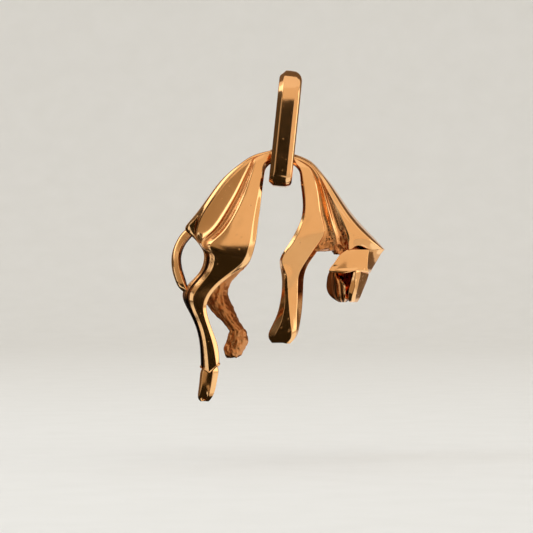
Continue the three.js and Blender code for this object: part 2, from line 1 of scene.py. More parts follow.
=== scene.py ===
"""Gold panther charm, draped by its waist over a strap bail: the looks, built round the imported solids."""
import json
import math

import bpy
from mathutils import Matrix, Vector


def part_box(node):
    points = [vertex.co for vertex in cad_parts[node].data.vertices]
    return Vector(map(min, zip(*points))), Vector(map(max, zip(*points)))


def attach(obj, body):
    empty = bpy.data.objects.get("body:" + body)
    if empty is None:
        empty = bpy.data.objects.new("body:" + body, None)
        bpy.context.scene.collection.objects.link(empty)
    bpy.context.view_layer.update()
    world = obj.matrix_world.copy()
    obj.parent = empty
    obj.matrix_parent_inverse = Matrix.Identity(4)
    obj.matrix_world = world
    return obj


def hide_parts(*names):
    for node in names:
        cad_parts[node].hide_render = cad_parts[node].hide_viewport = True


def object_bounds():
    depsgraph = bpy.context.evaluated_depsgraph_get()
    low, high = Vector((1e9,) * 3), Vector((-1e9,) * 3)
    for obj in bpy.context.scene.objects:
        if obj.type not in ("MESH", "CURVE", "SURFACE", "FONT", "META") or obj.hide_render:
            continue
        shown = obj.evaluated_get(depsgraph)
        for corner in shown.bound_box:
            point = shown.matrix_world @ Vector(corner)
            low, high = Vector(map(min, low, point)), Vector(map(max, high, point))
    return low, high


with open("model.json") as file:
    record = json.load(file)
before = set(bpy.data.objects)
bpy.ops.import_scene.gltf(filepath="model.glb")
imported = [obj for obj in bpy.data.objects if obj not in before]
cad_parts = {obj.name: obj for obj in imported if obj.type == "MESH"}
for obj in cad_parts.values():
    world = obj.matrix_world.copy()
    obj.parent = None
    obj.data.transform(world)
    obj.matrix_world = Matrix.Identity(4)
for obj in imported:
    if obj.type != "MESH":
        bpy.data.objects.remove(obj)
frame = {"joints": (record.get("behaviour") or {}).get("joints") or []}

cad_low, cad_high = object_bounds()

MM = 0.001

# The two sides of the mid-plane
NEAR = -1
FAR = 1

# Where the charm is: the hinge lies in the middle of the waist, and the two halves start at its ends
HINGE = next(joint for joint in frame["joints"] if joint["name"] == "bail_swing")
WAIST = Vector(HINGE["pos_m"])
WAIST_LOW, WAIST_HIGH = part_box("waist_saddle")
HIND = Vector((WAIST_LOW.x, 0, WAIST.z))
FORE = Vector((WAIST_HIGH.x, 0, WAIST.z))

# Edges: how wide a rounded edge is, in millimetres, and how much of the way to the next line it may take
RIDGE = 0.16
SOFT = 0.22
CRISP = 0.06
FLANK_LIMIT = 0.3

# How sharp an end, a seam or a ledge stays when a sheet is smoothed, and from what angle an edge shows
END_CREASE = 1.0
SEAM_CREASE = 1.0
LEDGE_CREASE = 0.5
SHARP_ANGLE = math.radians(50)

# How a part of the skin was left: polished, hard to reach or raw from the mould; values above raw paint
# shade into the colour, dark, and black where the shade is deepest
POLISHED = 0.0
DULL = 0.5
CAST = 1.0
PAINTED_SHADE = 1.6
PAINTED_DEEP_SHADE = 2.0

# A sheet: levels of smoothing, distance in metres at which points merge, and rounds of pulling its cage
SMOOTHING = 3
MERGE = 1e-7
PULLS = 12

# Waist, in millimetres: outline of its two ends, how high their middles lie, and its radius between them
WAIST_END_HEIGHT = 1.36
WAIST_END_DEPTH = 2.3
HIND_MIDDLE = 0.77
FORE_MIDDLE = 0.42
WAIST_RADIUS = 1.45
WAIST_SIDES = 24

# Stations along the waist: share of its half length, and how far its oval has turned into a circle
WAIST_STATIONS = [(-0.78, 0), (-0.6, 0), (-0.35, 0.3), (0.35, 0.3), (0.6, 0), (0.78, 0)]

# The shells lap over the waist's ends: how far, in millimetres, and the waist's share of their size there
WAIST_LAP = 0.7
WAIST_SLACK = 0.96

# Bail strap, in millimetres, with its tilt, and how many places follow its bends and straight runs
BAIL_WIDTH = 2.2
BAIL_THICKNESS = 0.8
BAIL_INSIDE_DEPTH = 4.6
BAIL_INSIDE_TOP = 8.55
BAIL_FOOT = 1.55
BAIL_FOOT_RADIUS = 0.5
BAIL_TILT = math.radians(5.9)
BAIL_BEND_STEPS = 12
BAIL_FOOT_STEPS = 4
BAIL_SOLE_STEPS = 1
BAIL_SIDE_STEPS = 3

# Section of the strap: share of half its width, share of half its thickness, width of the edge
BAIL_SECTION = [
    (-1.0, -1.0, RIDGE), (0.0, -1.0, 0), (1.0, -1.0, RIDGE), (1.04, -0.1, SOFT), (0.92, 0.55, 0),
    (0.55, 0.92, SOFT), (0.0, 1.0, 0), (-0.62, 0.98, RIDGE), (-0.83, 0.52, 0), (-1.04, 0.06, SOFT),
]

# Over the top of the loop the strap draws in: how much, and from what share of the bend's height
BAIL_DRAW = 0.25
BAIL_DRAW_FROM = 0.8

# Cast shells, in millimetres: their walls, and the lip that turns in along an open edge
WALL = 0.8
SPINE_WALL = 0.9
LIP = 0.4
LIP_DEPTH = 0.5

# Guides of the haunch and near hind leg: x from the waist's hind end, z, depth from the mid-plane,
# one point for each station from the flank down to the ankle
HAUNCH = {
    "spine": [
        (-1.0, 1.0, 0), (-2.3, 0.3, 0), (-3.8, -0.85, 0), (-5.3, -2.4, 0), (-7.2, -5.0, 0), (-8.3, -6.5, 0),
        (-7.5, -7.4, 0.5), (-6.6, -8.5, 0.9), (-6.4, -9.45, 1.0), (-6.9, -10.9, 1.0), (-8.25, -12.35, 1.0),
        (-8.48, -13.6, 1.0), (-7.75, -15.05, 1.0), (-7.1, -16.6, 1.05), (-6.77, -18.35, 1.1),
        (-6.7, -20.25, 1.15),
    ],
    "back_ridge": [
        (-1.15, 0.66, 1.12), (-2.05, 0.25, 1.3), (-3.25, -0.75, 1.45), (-4.6, -2.25, 1.6),
        (-6.28, -4.7, 1.78), (-6.85, -5.85, 1.85), (-7.05, -7.25, 1.85), (-6.5, -8.5, 1.8),
        (-6.2, -9.45, 1.75), (-6.7, -10.9, 1.7), (-7.88, -12.3, 1.65), (-8.05, -13.6, 1.6),
        (-7.55, -15.0, 1.55), (-6.92, -16.55, 1.6), (-6.6, -18.35, 1.65), (-6.5, -20.35, 1.7),
    ],
    "leaf_ridge": [
        (-1.15, 0.6, 1.16), (-1.72, -0.15, 1.45), (-2.35, -1.45, 1.74), (-3.15, -3.1, 2.05),
        (-4.2, -4.95, 2.34), (-5.4, -6.65, 2.5), (-6.55, -7.85, 2.46), (-6.12, -8.65, 2.52),
        (-5.72, -9.4, 2.44), (-6.12, -10.8, 2.2), (-7.3, -12.25, 2.1), (-7.75, -13.55, 2.1),
        (-7.35, -14.9, 2.12), (-6.73, -16.5, 2.1), (-6.37, -18.35, 2.1), (-6.22, -20.55, 2.1),
    ],
    "thigh_ridge": [
        (-1.05, 0.54, 1.2), (-1.38, -0.35, 1.52), (-1.8, -1.7, 1.8), (-2.42, -3.45, 2.12),
        (-3.28, -5.25, 2.45), (-4.45, -6.95, 2.62), (-5.6, -8.05, 2.74), (-5.45, -8.8, 2.74),
        (-5.2, -9.5, 2.7), (-5.62, -10.8, 2.48), (-6.8, -12.3, 2.34), (-7.38, -13.55, 2.32),
        (-7.03, -14.9, 2.31), (-6.4, -16.5, 2.3), (-6.02, -18.35, 2.31), (-5.78, -20.85, 2.32),
    ],
    "front_ridge": [
        (-0.25, 0.0, 1.35), (-0.55, -1.1, 1.5), (-0.77, -2.55, 1.7), (-1.05, -4.1, 1.94),
        (-1.3, -5.65, 2.17), (-1.42, -6.75, 2.45), (-1.53, -7.8, 2.64), (-1.95, -9.35, 2.72),
        (-2.85, -10.4, 2.6), (-4.4, -11.5, 2.46), (-5.7, -12.75, 2.42), (-6.27, -13.9, 2.4),
        (-6.3, -15.0, 2.4), (-5.85, -16.5, 2.4), (-5.33, -18.25, 2.4), (-5.03, -20.15, 2.4),
    ],
    "edge": [
        (-0.1, -0.45, 0.6), (-0.33, -1.35, 0.9), (-0.5, -2.7, 1.45), (-0.67, -4.2, 1.8),
        (-0.87, -5.75, 2.05), (-1.0, -6.8, 2.3), (-1.17, -7.95, 2.44), (-1.66, -9.6, 2.48),
        (-2.6, -10.53, 2.36), (-4.2, -11.65, 2.22), (-5.43, -12.88, 2.19), (-5.97, -13.95, 2.16),
        (-5.97, -14.93, 2.15), (-5.5, -16.45, 2.13), (-4.9, -18.2, 2.1), (-4.75, -20.0, 2.1),
    ],
}

# The two halves meet along the spine, which is the first guide of each
SPINE_SEAM = 0

# Where each guide starts on the oval of the waist's end, in degrees
HAUNCH_ANGLES = {
    "spine": 90, "back_ridge": 50, "leaf_ridge": 45, "thigh_ridge": 40, "front_ridge": -30, "edge": -50,
}

# In the lists of the haunch and the shoulder each entry is for one station, and the last holds to the end

# Inside of the haunch: how hollow it is, and where its lines start on the oval, in degrees. Where it is
# solid they lie at these shares of the way from the front edge to the spine, with a part of the lip
HAUNCH_HOLLOW = [0, 0.3, 0.75, 1, 1, 1, 1, 0.8, 0.4, 0.1, 0]
LINING_ANGLES = {"lip": -64, "middle": -77, "back": -90}
LINING_SHARES = {"lip": 0.2, "middle": 0.5, "back": 0.8}
SOLID_LIP = 0.5

# Floor of the leaf between its two ridges: share of the way across, and its lift in millimetres
LEAF_FLOOR = {0.12: -0.1, 0.5: -0.13, 0.88: -0.12}

# The groove between two ridges of the leaf was never polished: where across it its floor runs, its depth as
# a share of its width, its finish, and how first the depth and then the finish fades at its ends
GROOVE_FLOOR = (0.28, 0.6)
GROOVE_DEPTH = 0.35
GROOVE_FINISH = 0.85
GROOVE_RUN = [0, 0.8, 1, 1, 1, 1, 1, 0.5, 0]
GROOVE_FADE = [0, 0.8, 1, 1, 1, 1, 1, 0.9, 0.8, 0.7, 0.4, 0]

# Lines across the thigh: share of the way from its ridge to the front one, and swell in millimetres
THIGH_PANEL = 0.35
THIGH_CROWN = [0, 0.05, 0.08, 0.1, 0.12, 0.12, 0.12, 0.12, 0.16, 0.08, 0.03, 0]
THIGH_TURN = 0.94
TURN_CROWN = [0, 0.03, 0.04, 0.05, 0.06, 0.07, 0.11, 0.15, 0.17, 0.12, 0.04, 0.02]

# Lines between the spine and the first ridge: share of the way there, and distance under that ridge.
# The back is blunt, and at its lower end the leaf stands over the rump as a step
BACK_ROUND = [
    (0.5, 0.2), (0.05, 0.52), (0.05, 0.55), (0.06, 0.6), (0.12, 0.65), (0.12, 0.72), (0.06, 0.92),
    (0.1, 1.0), (0.4, 0.25), (0.5, 0.05),
]
RUMP = [
    (0.65, 0.12), (0.15, 0.3), (0.12, 0.3), (0.15, 0.33), (0.25, 0.38), (0.35, 0.45), (0.8, 0.52),
    (0.75, 0.75), (0.6, 0.22), (0.66, 0.08),
]
BACK_STEP = [
    (0.8, 0.05), (0.25, 0.13), (0.2, 0.12), (0.25, 0.14), (0.4, 0.2), (0.6, 0.25), (0.91, 0.8), (0.9, 0.95),
    (0.8, 0.2), (0.82, 0.1),
]

# Stations with painted shade, drawn as dark lines: on the step, under the edges beside the waist, at the
# rim of the hole, and down the back of the leg
STEP_STATIONS = (6, 7)
UNDER_STATIONS = (0, 1)
RIM_STATIONS = range(9, 12)
STRIP_STATIONS = range(12, 17)

# The end of the tail sinks into the hock, and shade is painted in that socket: where, and how deep
SOCKET_STATIONS = (11, 12)
SOCKET_DEPTH = 0.5

# The ankle ends in a bead over the paw: its radius, how much of that is sunk into the leg, and its sides
BEAD = 0.16
BEAD_SUNK = 0.4
BEAD_SIDES = 6

# The far hind leg leaves the haunch after this station, and runs between two outlines of its own
FAR_LEG_FROM = 8
FAR_LEG_FINISH = 0.93
FAR_LEG_BACK = [
    (-6.0, -9.9), (-6.2, -11.0), (-6.5, -12.45), (-6.4, -13.65), (-5.6, -14.85), (-4.6, -15.85),
    (-3.8, -16.75),
]
FAR_LEG_FRONT = [
    (-2.4, -10.6), (-3.5, -11.75), (-3.9, -12.75), (-3.85, -13.45), (-3.4, -14.35), (-2.9, -15.55),
    (-2.1, -16.75),
]

# Each guide of the far leg: share of the way from its back to its front, and depth from the mid-plane
FAR_LEG_LINES = {
    "spine": (0, 1.0),
    "back_ridge": (0.1, 1.45),
    "leaf_ridge": (0.22, 1.85),
    "thigh_ridge": (0.38, 2.2),
    "front_ridge": (0.86, 2.25),
    "edge": (1, 1.8),
}

# Guides of the shoulder and foreleg: x from the waist's fore end, z and depth, down to the toes
SHOULDER = {
    "edge": [
        (0.2, -0.65, 1.4), (0.4, -1.75, 1.6), (0.55, -3.05, 1.82), (0.62, -4.35, 2.02), (0.45, -5.55, 2.37),
        (-0.05, -6.7, 2.53), (-0.75, -7.95, 2.61), (-1.45, -9.05, 2.68), (-1.7, -9.95, 2.0),
        (-1.53, -11.15, 1.95), (-1.5, -12.55, 1.95), (-1.67, -13.85, 1.95), (-2.0, -15.15, 1.95),
        (-2.55, -16.35, 1.95), (-2.85, -17.25, 1.9), (-2.5, -17.9, 1.8),
    ],
    "bevel": [
        (0.3, -0.45, 1.6), (0.6, -1.65, 1.88), (0.77, -2.95, 2.14), (0.83, -4.3, 2.38), (0.7, -5.55, 2.56),
        (0.23, -6.8, 2.75), (-0.45, -8.05, 2.84), (-1.25, -9.1, 2.88), (-1.48, -10.05, 2.82),
        (-1.0, -11.25, 2.72), (-0.9, -12.55, 2.62), (-0.82, -13.85, 2.64), (-0.7, -15.15, 2.66),
        (-0.57, -16.35, 2.7), (-0.55, -17.3, 2.62), (-1.1, -17.95, 2.2),
    ],
    "ridge": [
        (0.85, -0.1, 1.3), (1.55, -0.9, 1.52), (2.0, -2.15, 1.78), (2.25, -3.65, 2.05), (2.43, -5.05, 2.24),
        (2.73, -6.45, 2.22), (2.5, -7.5, 2.22), (1.7, -8.6, 2.22), (0.95, -9.75, 2.22), (0.25, -11.0, 2.26),
        (0.1, -12.45, 2.28), (0.07, -13.85, 2.28), (0.0, -15.15, 2.3), (0.0, -16.35, 2.36),
        (-0.15, -17.3, 2.3), (-0.65, -17.95, 2.0),
    ],
    "back": [
        (0.85, -0.15, 0.7), (1.55, -0.95, 0.95), (2.0, -2.2, 1.25), (2.25, -3.7, 1.55), (2.43, -5.1, 1.7),
        (2.7, -6.5, 1.75), (2.6, -7.65, 1.7), (2.05, -8.85, 1.65), (1.35, -9.85, 1.6), (0.83, -11.05, 1.55),
        (0.7, -12.45, 1.55), (0.62, -13.95, 1.55), (0.5, -15.15, 1.55), (0.3, -16.3, 1.6),
        (0.0, -17.25, 1.65), (-0.55, -17.85, 1.7),
    ],
}

# Where they start on the oval of the waist's end, in degrees; the back starts in its middle
SHOULDER_ANGLES = {"edge": -23, "bevel": -6, "ridge": 26}

# Line of the outer toe, down the left face of the foreleg; above that, its share of the way to the bevel
FORELEG_TOE = [
    (-1.25, -11.2, 2.62), (-1.2, -12.55, 2.57), (-1.2, -13.85, 2.57), (-1.38, -15.15, 2.56),
    (-1.78, -16.35, 2.55), (-2.2, -17.2, 2.4), (-1.95, -17.7, 2.0),
]
TOE_SHARE = 0.5

# Inside of the shoulder: how hollow it is, where its lines start on the oval, in degrees, the middle line's
# share of the way from the edge to the back, and the depth of the leg's inner face where it is solid
SHOULDER_HOLLOW = [0, 0.4, 0.9, 1, 1, 1, 0.8, 0.4, 0.1, 0]
SHOULDER_INSIDE_ANGLES = {"lip": -50, "middle": -90}
SHOULDER_INSIDE_SHARE = 0.55
FORELEG_BACK = 1.0

# Lines across the blade: share of the way from its bevel to its ridge, and swell in millimetres
SHOULDER_PANEL = (0.4, 0.72, 0.9)
SHOULDER_CROWN = [0, 0.05, 0.08, 0.09, 0.08, 0.06, 0.04, 0.03] + [0.02] * 8 + [0]

# Guides of the neck: the grooved chest side, the mantle and the nape, down to the seat of the head
NECK = {
    "side": [
        (0.8, -0.12, 1.2), (1.5, -0.95, 1.4), (1.95, -2.2, 1.5), (2.2, -3.7, 1.7), (2.4, -5.1, 1.85),
        (2.68, -6.45, 2.0), (2.35, -7.55, 2.1), (1.5, -8.8, 2.1),
    ],
    "groove": [
        (0.95, -0.08, 1.26), (1.75, -0.95, 1.46), (2.27, -2.15, 1.6), (2.54, -3.6, 1.72),
        (2.82, -4.95, 1.84), (3.16, -6.35, 1.88), (3.32, -7.5, 1.9), (3.15, -8.3, 2.0),
    ],
    "rib": [
        (1.0, -0.03, 1.25), (1.87, -0.93, 1.5), (2.46, -2.15, 1.8), (2.87, -3.55, 2.05), (3.2, -4.95, 2.2),
        (3.55, -6.35, 2.25), (3.88, -7.55, 2.25), (4.0, -9.1, 2.2),
    ],
    "channel": [
        (1.05, 0.02, 1.2), (1.95, -0.9, 1.44), (2.6, -2.15, 1.62), (3.1, -3.5, 1.75), (3.58, -4.9, 1.85),
        (4.1, -6.3, 1.85), (4.55, -7.5, 1.85), (4.75, -8.95, 1.85),
    ],
    "mantle": [
        (1.1, 0.08, 1.14), (2.02, -0.87, 1.44), (2.74, -2.13, 1.76), (3.45, -3.5, 2.02),
        (4.15, -4.85, 2.25), (4.7, -6.25, 2.38), (5.03, -7.45, 2.45), (5.15, -8.62, 2.48),
    ],
    "nape_ridge": [
        (1.15, 0.22, 0.95), (2.17, -0.82, 1.3), (3.08, -2.2, 1.6), (4.12, -4.1, 1.9), (5.08, -5.6, 2.12),
        (6.1, -6.8, 2.2), (7.3, -7.78, 2.08), (8.45, -8.55, 1.4),
    ],
    "spine": [
        (1.2, 0.4, 0), (2.3, -0.6, 0), (3.3, -1.8, 0), (4.4, -3.35, 0), (5.45, -4.85, 0), (6.6, -6.2, 0),
        (7.8, -7.45, 0), (8.9, -8.65, 0),
    ],
}
NECK_ANGLES = {
    "side": 28, "groove": 36, "rib": 41, "channel": 46, "mantle": 52, "nape_ridge": 66, "spine": 90,
}

# Inside of the neck: where its lines start on the oval, in degrees and as shares of the way out to it, and
# the least depth of its walls from the mid-plane
NECK_INSIDE_ANGLE = 60
NECK_INSIDE_SHARE = 0.3
NECK_SPINE_SHARE = 0.2
LEAST_DEPTH = 0.2

# Rough chest: share of the channel's far wall that is rough with its floor, and finish just above the hem
CHANNEL_WALL = 0.65
HEM_FINISH = 0.78

# Panels of the mantle: swell, and for each line its share of the way to the nape, and how far the dark slit
# over the brow cuts into its hem
NECK_CROWN = 0.03
MANTLE_PANELS = {0.1: 0.05, 0.22: 0.46, 0.44: 0.34, 0.6: -0.1}

# The nape is round: share of the way from its ridge to the spine, and share of the ridge's depth
NAPE_ROUND = {0.35: 0.94, 0.75: 0.66}

# Guides of the head: x from the waist's fore end, z and depth, from the seat under the mantle to the brow
SKULL = {
    "cheek_edge": [
        (5.0, -8.62, 2.34), (4.35, -9.05, 2.48), (3.95, -9.55, 2.6), (3.6, -10.05, 2.7),
        (3.25, -10.5, 2.75), (3.2, -10.85, 2.72), (3.4, -10.91, 1.7),
    ],
    "cheek_left": [
        (5.5, -8.62, 2.35), (5.0, -9.05, 2.5), (4.7, -9.55, 2.62), (4.4, -10.05, 2.72), (4.1, -10.5, 2.78),
        (3.95, -10.91, 2.78), (4.1, -10.94, 1.8),
    ],
    "cheek_right": [
        (6.1, -8.62, 2.35), (5.8, -9.05, 2.55), (5.6, -9.55, 2.7), (5.35, -10.05, 2.85), (5.1, -10.5, 2.95),
        (4.85, -10.98, 3.0), (4.9, -11.0, 1.9),
    ],
    "bridge": [
        (6.8, -8.62, 2.2), (6.7, -9.05, 2.4), (6.55, -9.55, 2.55), (6.35, -10.05, 2.72),
        (6.05, -10.45, 2.88), (5.7, -10.73, 3.0), (5.65, -10.85, 2.0),
    ],
    "forehead": [
        (7.15, -8.62, 2.05), (7.1, -9.05, 2.25), (7.05, -9.55, 2.4), (7.02, -10.05, 2.5),
        (7.03, -10.5, 2.5), (7.15, -10.85, 2.3), (6.85, -10.95, 1.6),
    ],
    "temple": [
        (8.8, -8.62, 0.3), (8.45, -9.05, 0.3), (8.15, -9.55, 0.35), (7.85, -10.05, 0.5), (7.58, -10.5, 0.8),
        (7.35, -10.92, 1.0), (7.1, -11.05, 0.8),
    ],
    "far_temple": [
        (8.6, -8.62, -0.9), (8.3, -9.05, -0.9), (8.0, -9.55, -0.9), (7.7, -10.05, -0.8), (7.4, -10.5, -0.7),
        (7.1, -10.95, -0.6), (6.9, -11.05, -0.4),
    ],
    "far_cheek": [
        (6.8, -8.62, -1.6), (6.5, -9.05, -1.7), (6.2, -9.55, -1.7), (5.9, -10.05, -1.6), (5.6, -10.5, -1.5),
        (5.4, -10.95, -1.4), (5.4, -11.05, -1.0),
    ],
    "throat": [
        (4.9, -8.62, 0.3), (4.4, -9.05, 0.3), (4.0, -9.55, 0.4), (3.65, -10.05, 0.5), (3.3, -10.5, 0.6),
        (3.2, -10.95, 0.7), (3.5, -11.05, 0.6),
    ],
}
SKULL_EDGES = {"cheek_edge": RIDGE, "bridge": SOFT, "forehead": CRISP, "temple": SOFT}

# Ledge of the brow: its station, and the first and the last guide that it crosses
BROW = (5, 0, 5)

# The muzzle, from inside the skull down to the nose: levels that all guides share, x and depth on each
MUZZLE_LEVELS = (-10.35, -10.85, -11.45, -12.05, -12.65, -13.25, -13.65, -13.85)
MUZZLE_ACROSS = {
    "lip": [
        (5.65, 1.4), (5.5, 1.5), (5.35, 1.55), (5.2, 1.6), (5.08, 1.65), (5.04, 1.7), (5.1, 1.6),
        (5.28, 1.4),
    ],
    "whiskers": [
        (5.7, 2.74), (5.6, 2.9), (5.45, 2.8), (5.3, 2.82), (5.16, 2.85), (5.1, 2.75), (5.13, 2.4),
        (5.3, 2.0),
    ],
    "nose": [
        (5.95, 2.86), (5.85, 3.04), (5.78, 3.02), (5.8, 3.02), (5.65, 3.03), (5.5, 2.96), (5.44, 2.66),
        (5.5, 2.1),
    ],
    "nose_side": [
        (6.43, 2.58), (6.34, 2.68), (6.23, 2.64), (6.11, 2.66), (5.97, 2.68), (5.83, 2.62), (5.76, 2.4),
        (5.72, 2.0),
    ],
    "outline": [
        (7.1, 0.6), (7.25, 0.6), (7.12, 0.7), (6.9, 0.8), (6.65, 0.9), (6.4, 1.1), (6.2, 1.2), (6.05, 1.2),
    ],
    "far_right": [
        (6.9, -0.3), (7.0, -0.4), (6.9, -0.3), (6.65, -0.2), (6.4, 0.0), (6.15, 0.2), (5.95, 0.5),
        (5.8, 0.8),
    ],
    "far_left": [
        (5.4, -0.3), (5.35, -0.5), (5.25, -0.5), (5.15, -0.4), (5.05, -0.2), (5.0, 0.1), (5.05, 0.5),
        (5.25, 0.8),
    ],
}
MUZZLE = {
    name: [(x, z, depth) for z, (x, depth) in zip(MUZZLE_LEVELS, row)]
    for name, row in MUZZLE_ACROSS.items()
}
MUZZLE_EDGES = {"whiskers": CRISP, "nose": RIDGE, "nose_side": RIDGE, "outline": SOFT}

# The jaw, with two folds of skin, from inside the skull down to the chin
JAW = {
    "back": [
        (3.35, -10.65, 0.5), (3.15, -11.15, 0.4), (3.05, -11.65, 0.4), (3.0, -12.15, 0.4),
        (3.06, -12.65, 0.4), (3.3, -13.15, 0.5), (3.75, -13.55, 0.7), (4.25, -13.85, 0.9),
    ],
    "outline": [
        (3.3, -10.65, 1.9), (3.08, -11.15, 1.8), (2.98, -11.65, 1.8), (2.94, -12.15, 1.8),
        (3.0, -12.65, 1.8), (3.25, -13.15, 1.8), (3.7, -13.55, 1.7), (4.2, -13.85, 1.4),
    ],
    "fold": [
        (3.5, -10.65, 2.1), (3.45, -11.15, 2.2), (3.48, -11.65, 2.35), (3.52, -12.15, 2.4),
        (3.55, -12.65, 2.35), (3.68, -13.15, 2.2), (3.9, -13.55, 2.0), (4.3, -13.85, 1.5),
    ],
    "crease": [
        (3.7, -10.65, 2.05), (3.68, -11.15, 2.08), (3.75, -11.65, 2.1), (3.8, -12.15, 2.1),
        (3.83, -12.65, 2.08), (3.9, -13.15, 2.0), (4.07, -13.55, 1.85), (4.4, -13.85, 1.5),
    ],
    "second_fold": [
        (3.85, -10.65, 2.15), (3.88, -11.15, 2.3), (4.0, -11.65, 2.5), (4.1, -12.15, 2.55),
        (4.16, -12.65, 2.5), (4.2, -13.15, 2.35), (4.28, -13.55, 2.05), (4.5, -13.85, 1.55),
    ],
    "second_crease": [
        (4.0, -10.65, 1.9), (4.1, -11.15, 2.0), (4.3, -11.65, 2.42), (4.43, -12.15, 2.5),
        (4.48, -12.65, 2.48), (4.5, -13.15, 2.38), (4.52, -13.55, 2.12), (4.6, -13.85, 1.55),
    ],
    "line": [
        (4.05, -10.65, 1.8), (4.15, -11.15, 1.95), (4.42, -11.68, 2.6), (4.77, -12.15, 2.74),
        (4.82, -12.65, 2.72), (4.81, -13.15, 2.62), (4.76, -13.55, 2.32), (4.72, -13.85, 1.7),
    ],
    "socket": [
        (5.6, -10.65, 0.5), (6.2, -11.15, 0.5), (6.2, -11.65, 0.5), (6.0, -12.15, 0.55), (5.8, -12.65, 0.6),
        (5.6, -13.15, 0.7), (5.3, -13.55, 0.8), (5.0, -13.85, 0.9),
    ],
    "far": [
        (4.6, -10.65, -0.6), (4.6, -11.15, -0.8), (4.6, -11.65, -0.9), (4.6, -12.15, -0.9),
        (4.5, -12.65, -0.8), (4.3, -13.15, -0.5), (4.4, -13.55, -0.1), (4.5, -13.85, 0.5),
    ],
}
JAW_EDGES = {"outline": SOFT, "fold": CRISP, "second_fold": CRISP, "line": CRISP, "socket": SOFT}
# Finish of each jaw line, with painted shade: dark on its back, outline and first fold, black in its
# creases and socket
JAW_FINISHES_AND_SHADE = {
    "back": PAINTED_SHADE, "outline": PAINTED_SHADE, "fold": PAINTED_SHADE, "crease": PAINTED_DEEP_SHADE, "second_fold": DULL,
    "second_crease": PAINTED_DEEP_SHADE, "socket": PAINTED_DEEP_SHADE,
}

# The near ear lies folded over the chest: x, z and depth of its middle line, and half its width
EAR = [
    (4.75, -9.2, 2.3, 0.26), (4.5, -8.85, 2.5, 0.4), (4.25, -8.55, 2.6, 0.4), (4.0, -8.28, 2.55, 0.28),
    (3.85, -8.12, 2.45, 0.1),
]

# Section of the ear: shares of half its width outwards and in depth, width of the edge and finish
EAR_SECTION = [
    (-1.0, 0.0, RIDGE, CAST), (-0.5, -0.5, 0, CAST), (0.0, -0.65, 0, CAST), (0.5, -0.5, 0, CAST),
    (1.0, 0.0, RIDGE, CAST), (0.6, -1.1, 0, CAST), (-0.6, -1.1, 0, CAST),
]

# The tail, from inside the rump round to the hock of the near leg: x, z, depth of its middle, width
TAIL = [
    (-6.9, -6.0, 0.3, 0.5), (-7.95, -7.0, 0.12, 0.95), (-8.58, -7.8, 0.15, 0.95), (-8.98, -8.7, 0.35, 0.94),
    (-9.12, -9.65, 0.65, 0.96), (-9.0, -10.65, 0.95, 1.0), (-8.74, -11.5, 1.15, 1.0),
    (-8.48, -12.15, 1.25, 0.9), (-8.15, -12.7, 1.25, 0.5),
]
TAIL_DEPTH = 1.0

# Section of the tail: share of its width outwards, share of its depth, width of the edge, and finish with
# painted shade along its inner edge
TAIL_SECTION = [
    (0.5, 0.0, SOFT, POLISHED), (0.4, 0.3, 0, POLISHED), (-0.2, 0.5, RIDGE, POLISHED),
    (-0.42, 0.3, 0, PAINTED_SHADE), (-0.55, 0.0, SOFT, PAINTED_DEEP_SHADE), (-0.42, -0.38, 0, PAINTED_SHADE),
    (0.0, -0.52, 0, POLISHED), (0.4, -0.38, 0, POLISHED),
]

# The near hind paw, from inside the ankle down: x and z of its middle, half its width and half its depth,
# and how deep the cleft between its toes is
NEAR_PAW = [
    (-5.62, -19.95, 0.55, 0.42, 0), (-5.74, -20.65, 0.9, 0.53, 0), (-5.88, -21.65, 0.9, 0.57, 0.05),
    (-6.05, -22.65, 0.85, 0.62, 0.15), (-6.22, -23.35, 0.7, 0.52, 0.3), (-6.25, -23.7, 0.42, 0.3, 0.3),
]
NEAR_PAW_MIDDLE = 1.74

# Section of the near paw: shares of half its width and half its depth, and width of the edge
NEAR_PAW_CLEFT = -0.1
NEAR_PAW_SECTION = [
    (-1.0, -0.1, SOFT), (-0.75, 0.62, RIDGE), (NEAR_PAW_CLEFT, 0.95, 0), (0.4, 0.98, RIDGE),
    (1.0, 0.15, RIDGE), (0.8, -0.8, 0), (-0.8, -0.8, 0),
]

# The far hind paw: its length and how far it is tucked into the ankle, in millimetres, the share of its
# length by which its rings lie level, its finish, and for each ring share of the length, shift in x and
# share of the ankle's size
FAR_PAW_LENGTH = 2.7
FAR_PAW_TUCK = 0.12
FAR_PAW_LEVEL = 0.5
FAR_PAW_FINISH = 0.98
FAR_PAW_RINGS = [(0.0, 0.0, 1.0), (0.3, -0.05, 1.3), (0.6, -0.3, 1.35), (0.85, -0.5, 1.1), (1.0, -0.6, 0.7)]

# Lumps of a raw skin: from what finish they rise, their heights and spans in millimetres, and their layers
ROUGH_FROM = 0.86
LUMP_HEIGHT = 0.32
HEM_LUMP_HEIGHT = 0.9
EAR_LUMP_HEIGHT = 0.22
LUMP_SPAN = 0.38
FINE_LUMP_SPAN = 0.3
LUMP_LAYERS = 3

# Patterns on the gold: size of a feature in millimetres, and layers of finer noise in it. The grain of raw
# gold is finer than a pixel, so it is drawn as coarse as it needs to show
PATTERNS = {
    "tone": (2.5, 2.0),
    "smears": (0.9, 3.0),
    "waves": (1.2, 1.0),
    "pits": (0.35, 2.0),
    "grain": (0.16, 3.0),
}

# How smears vary the roughness, where in its noise a pit starts and is deepest, and height of the raw grain
SMEAR_RANGE = (0.7, 1.3)
PIT_EDGES = (0.7, 0.78)
GRAIN_HEIGHT = 0.03

# Gold that was left raw, and the near-black colour of painted shade in corners and hollows
RAW_TONE = "#C27C46"
RAW_ROUGHNESS = 0.28
PAINTED_SHADE_TONE = "#22140A"

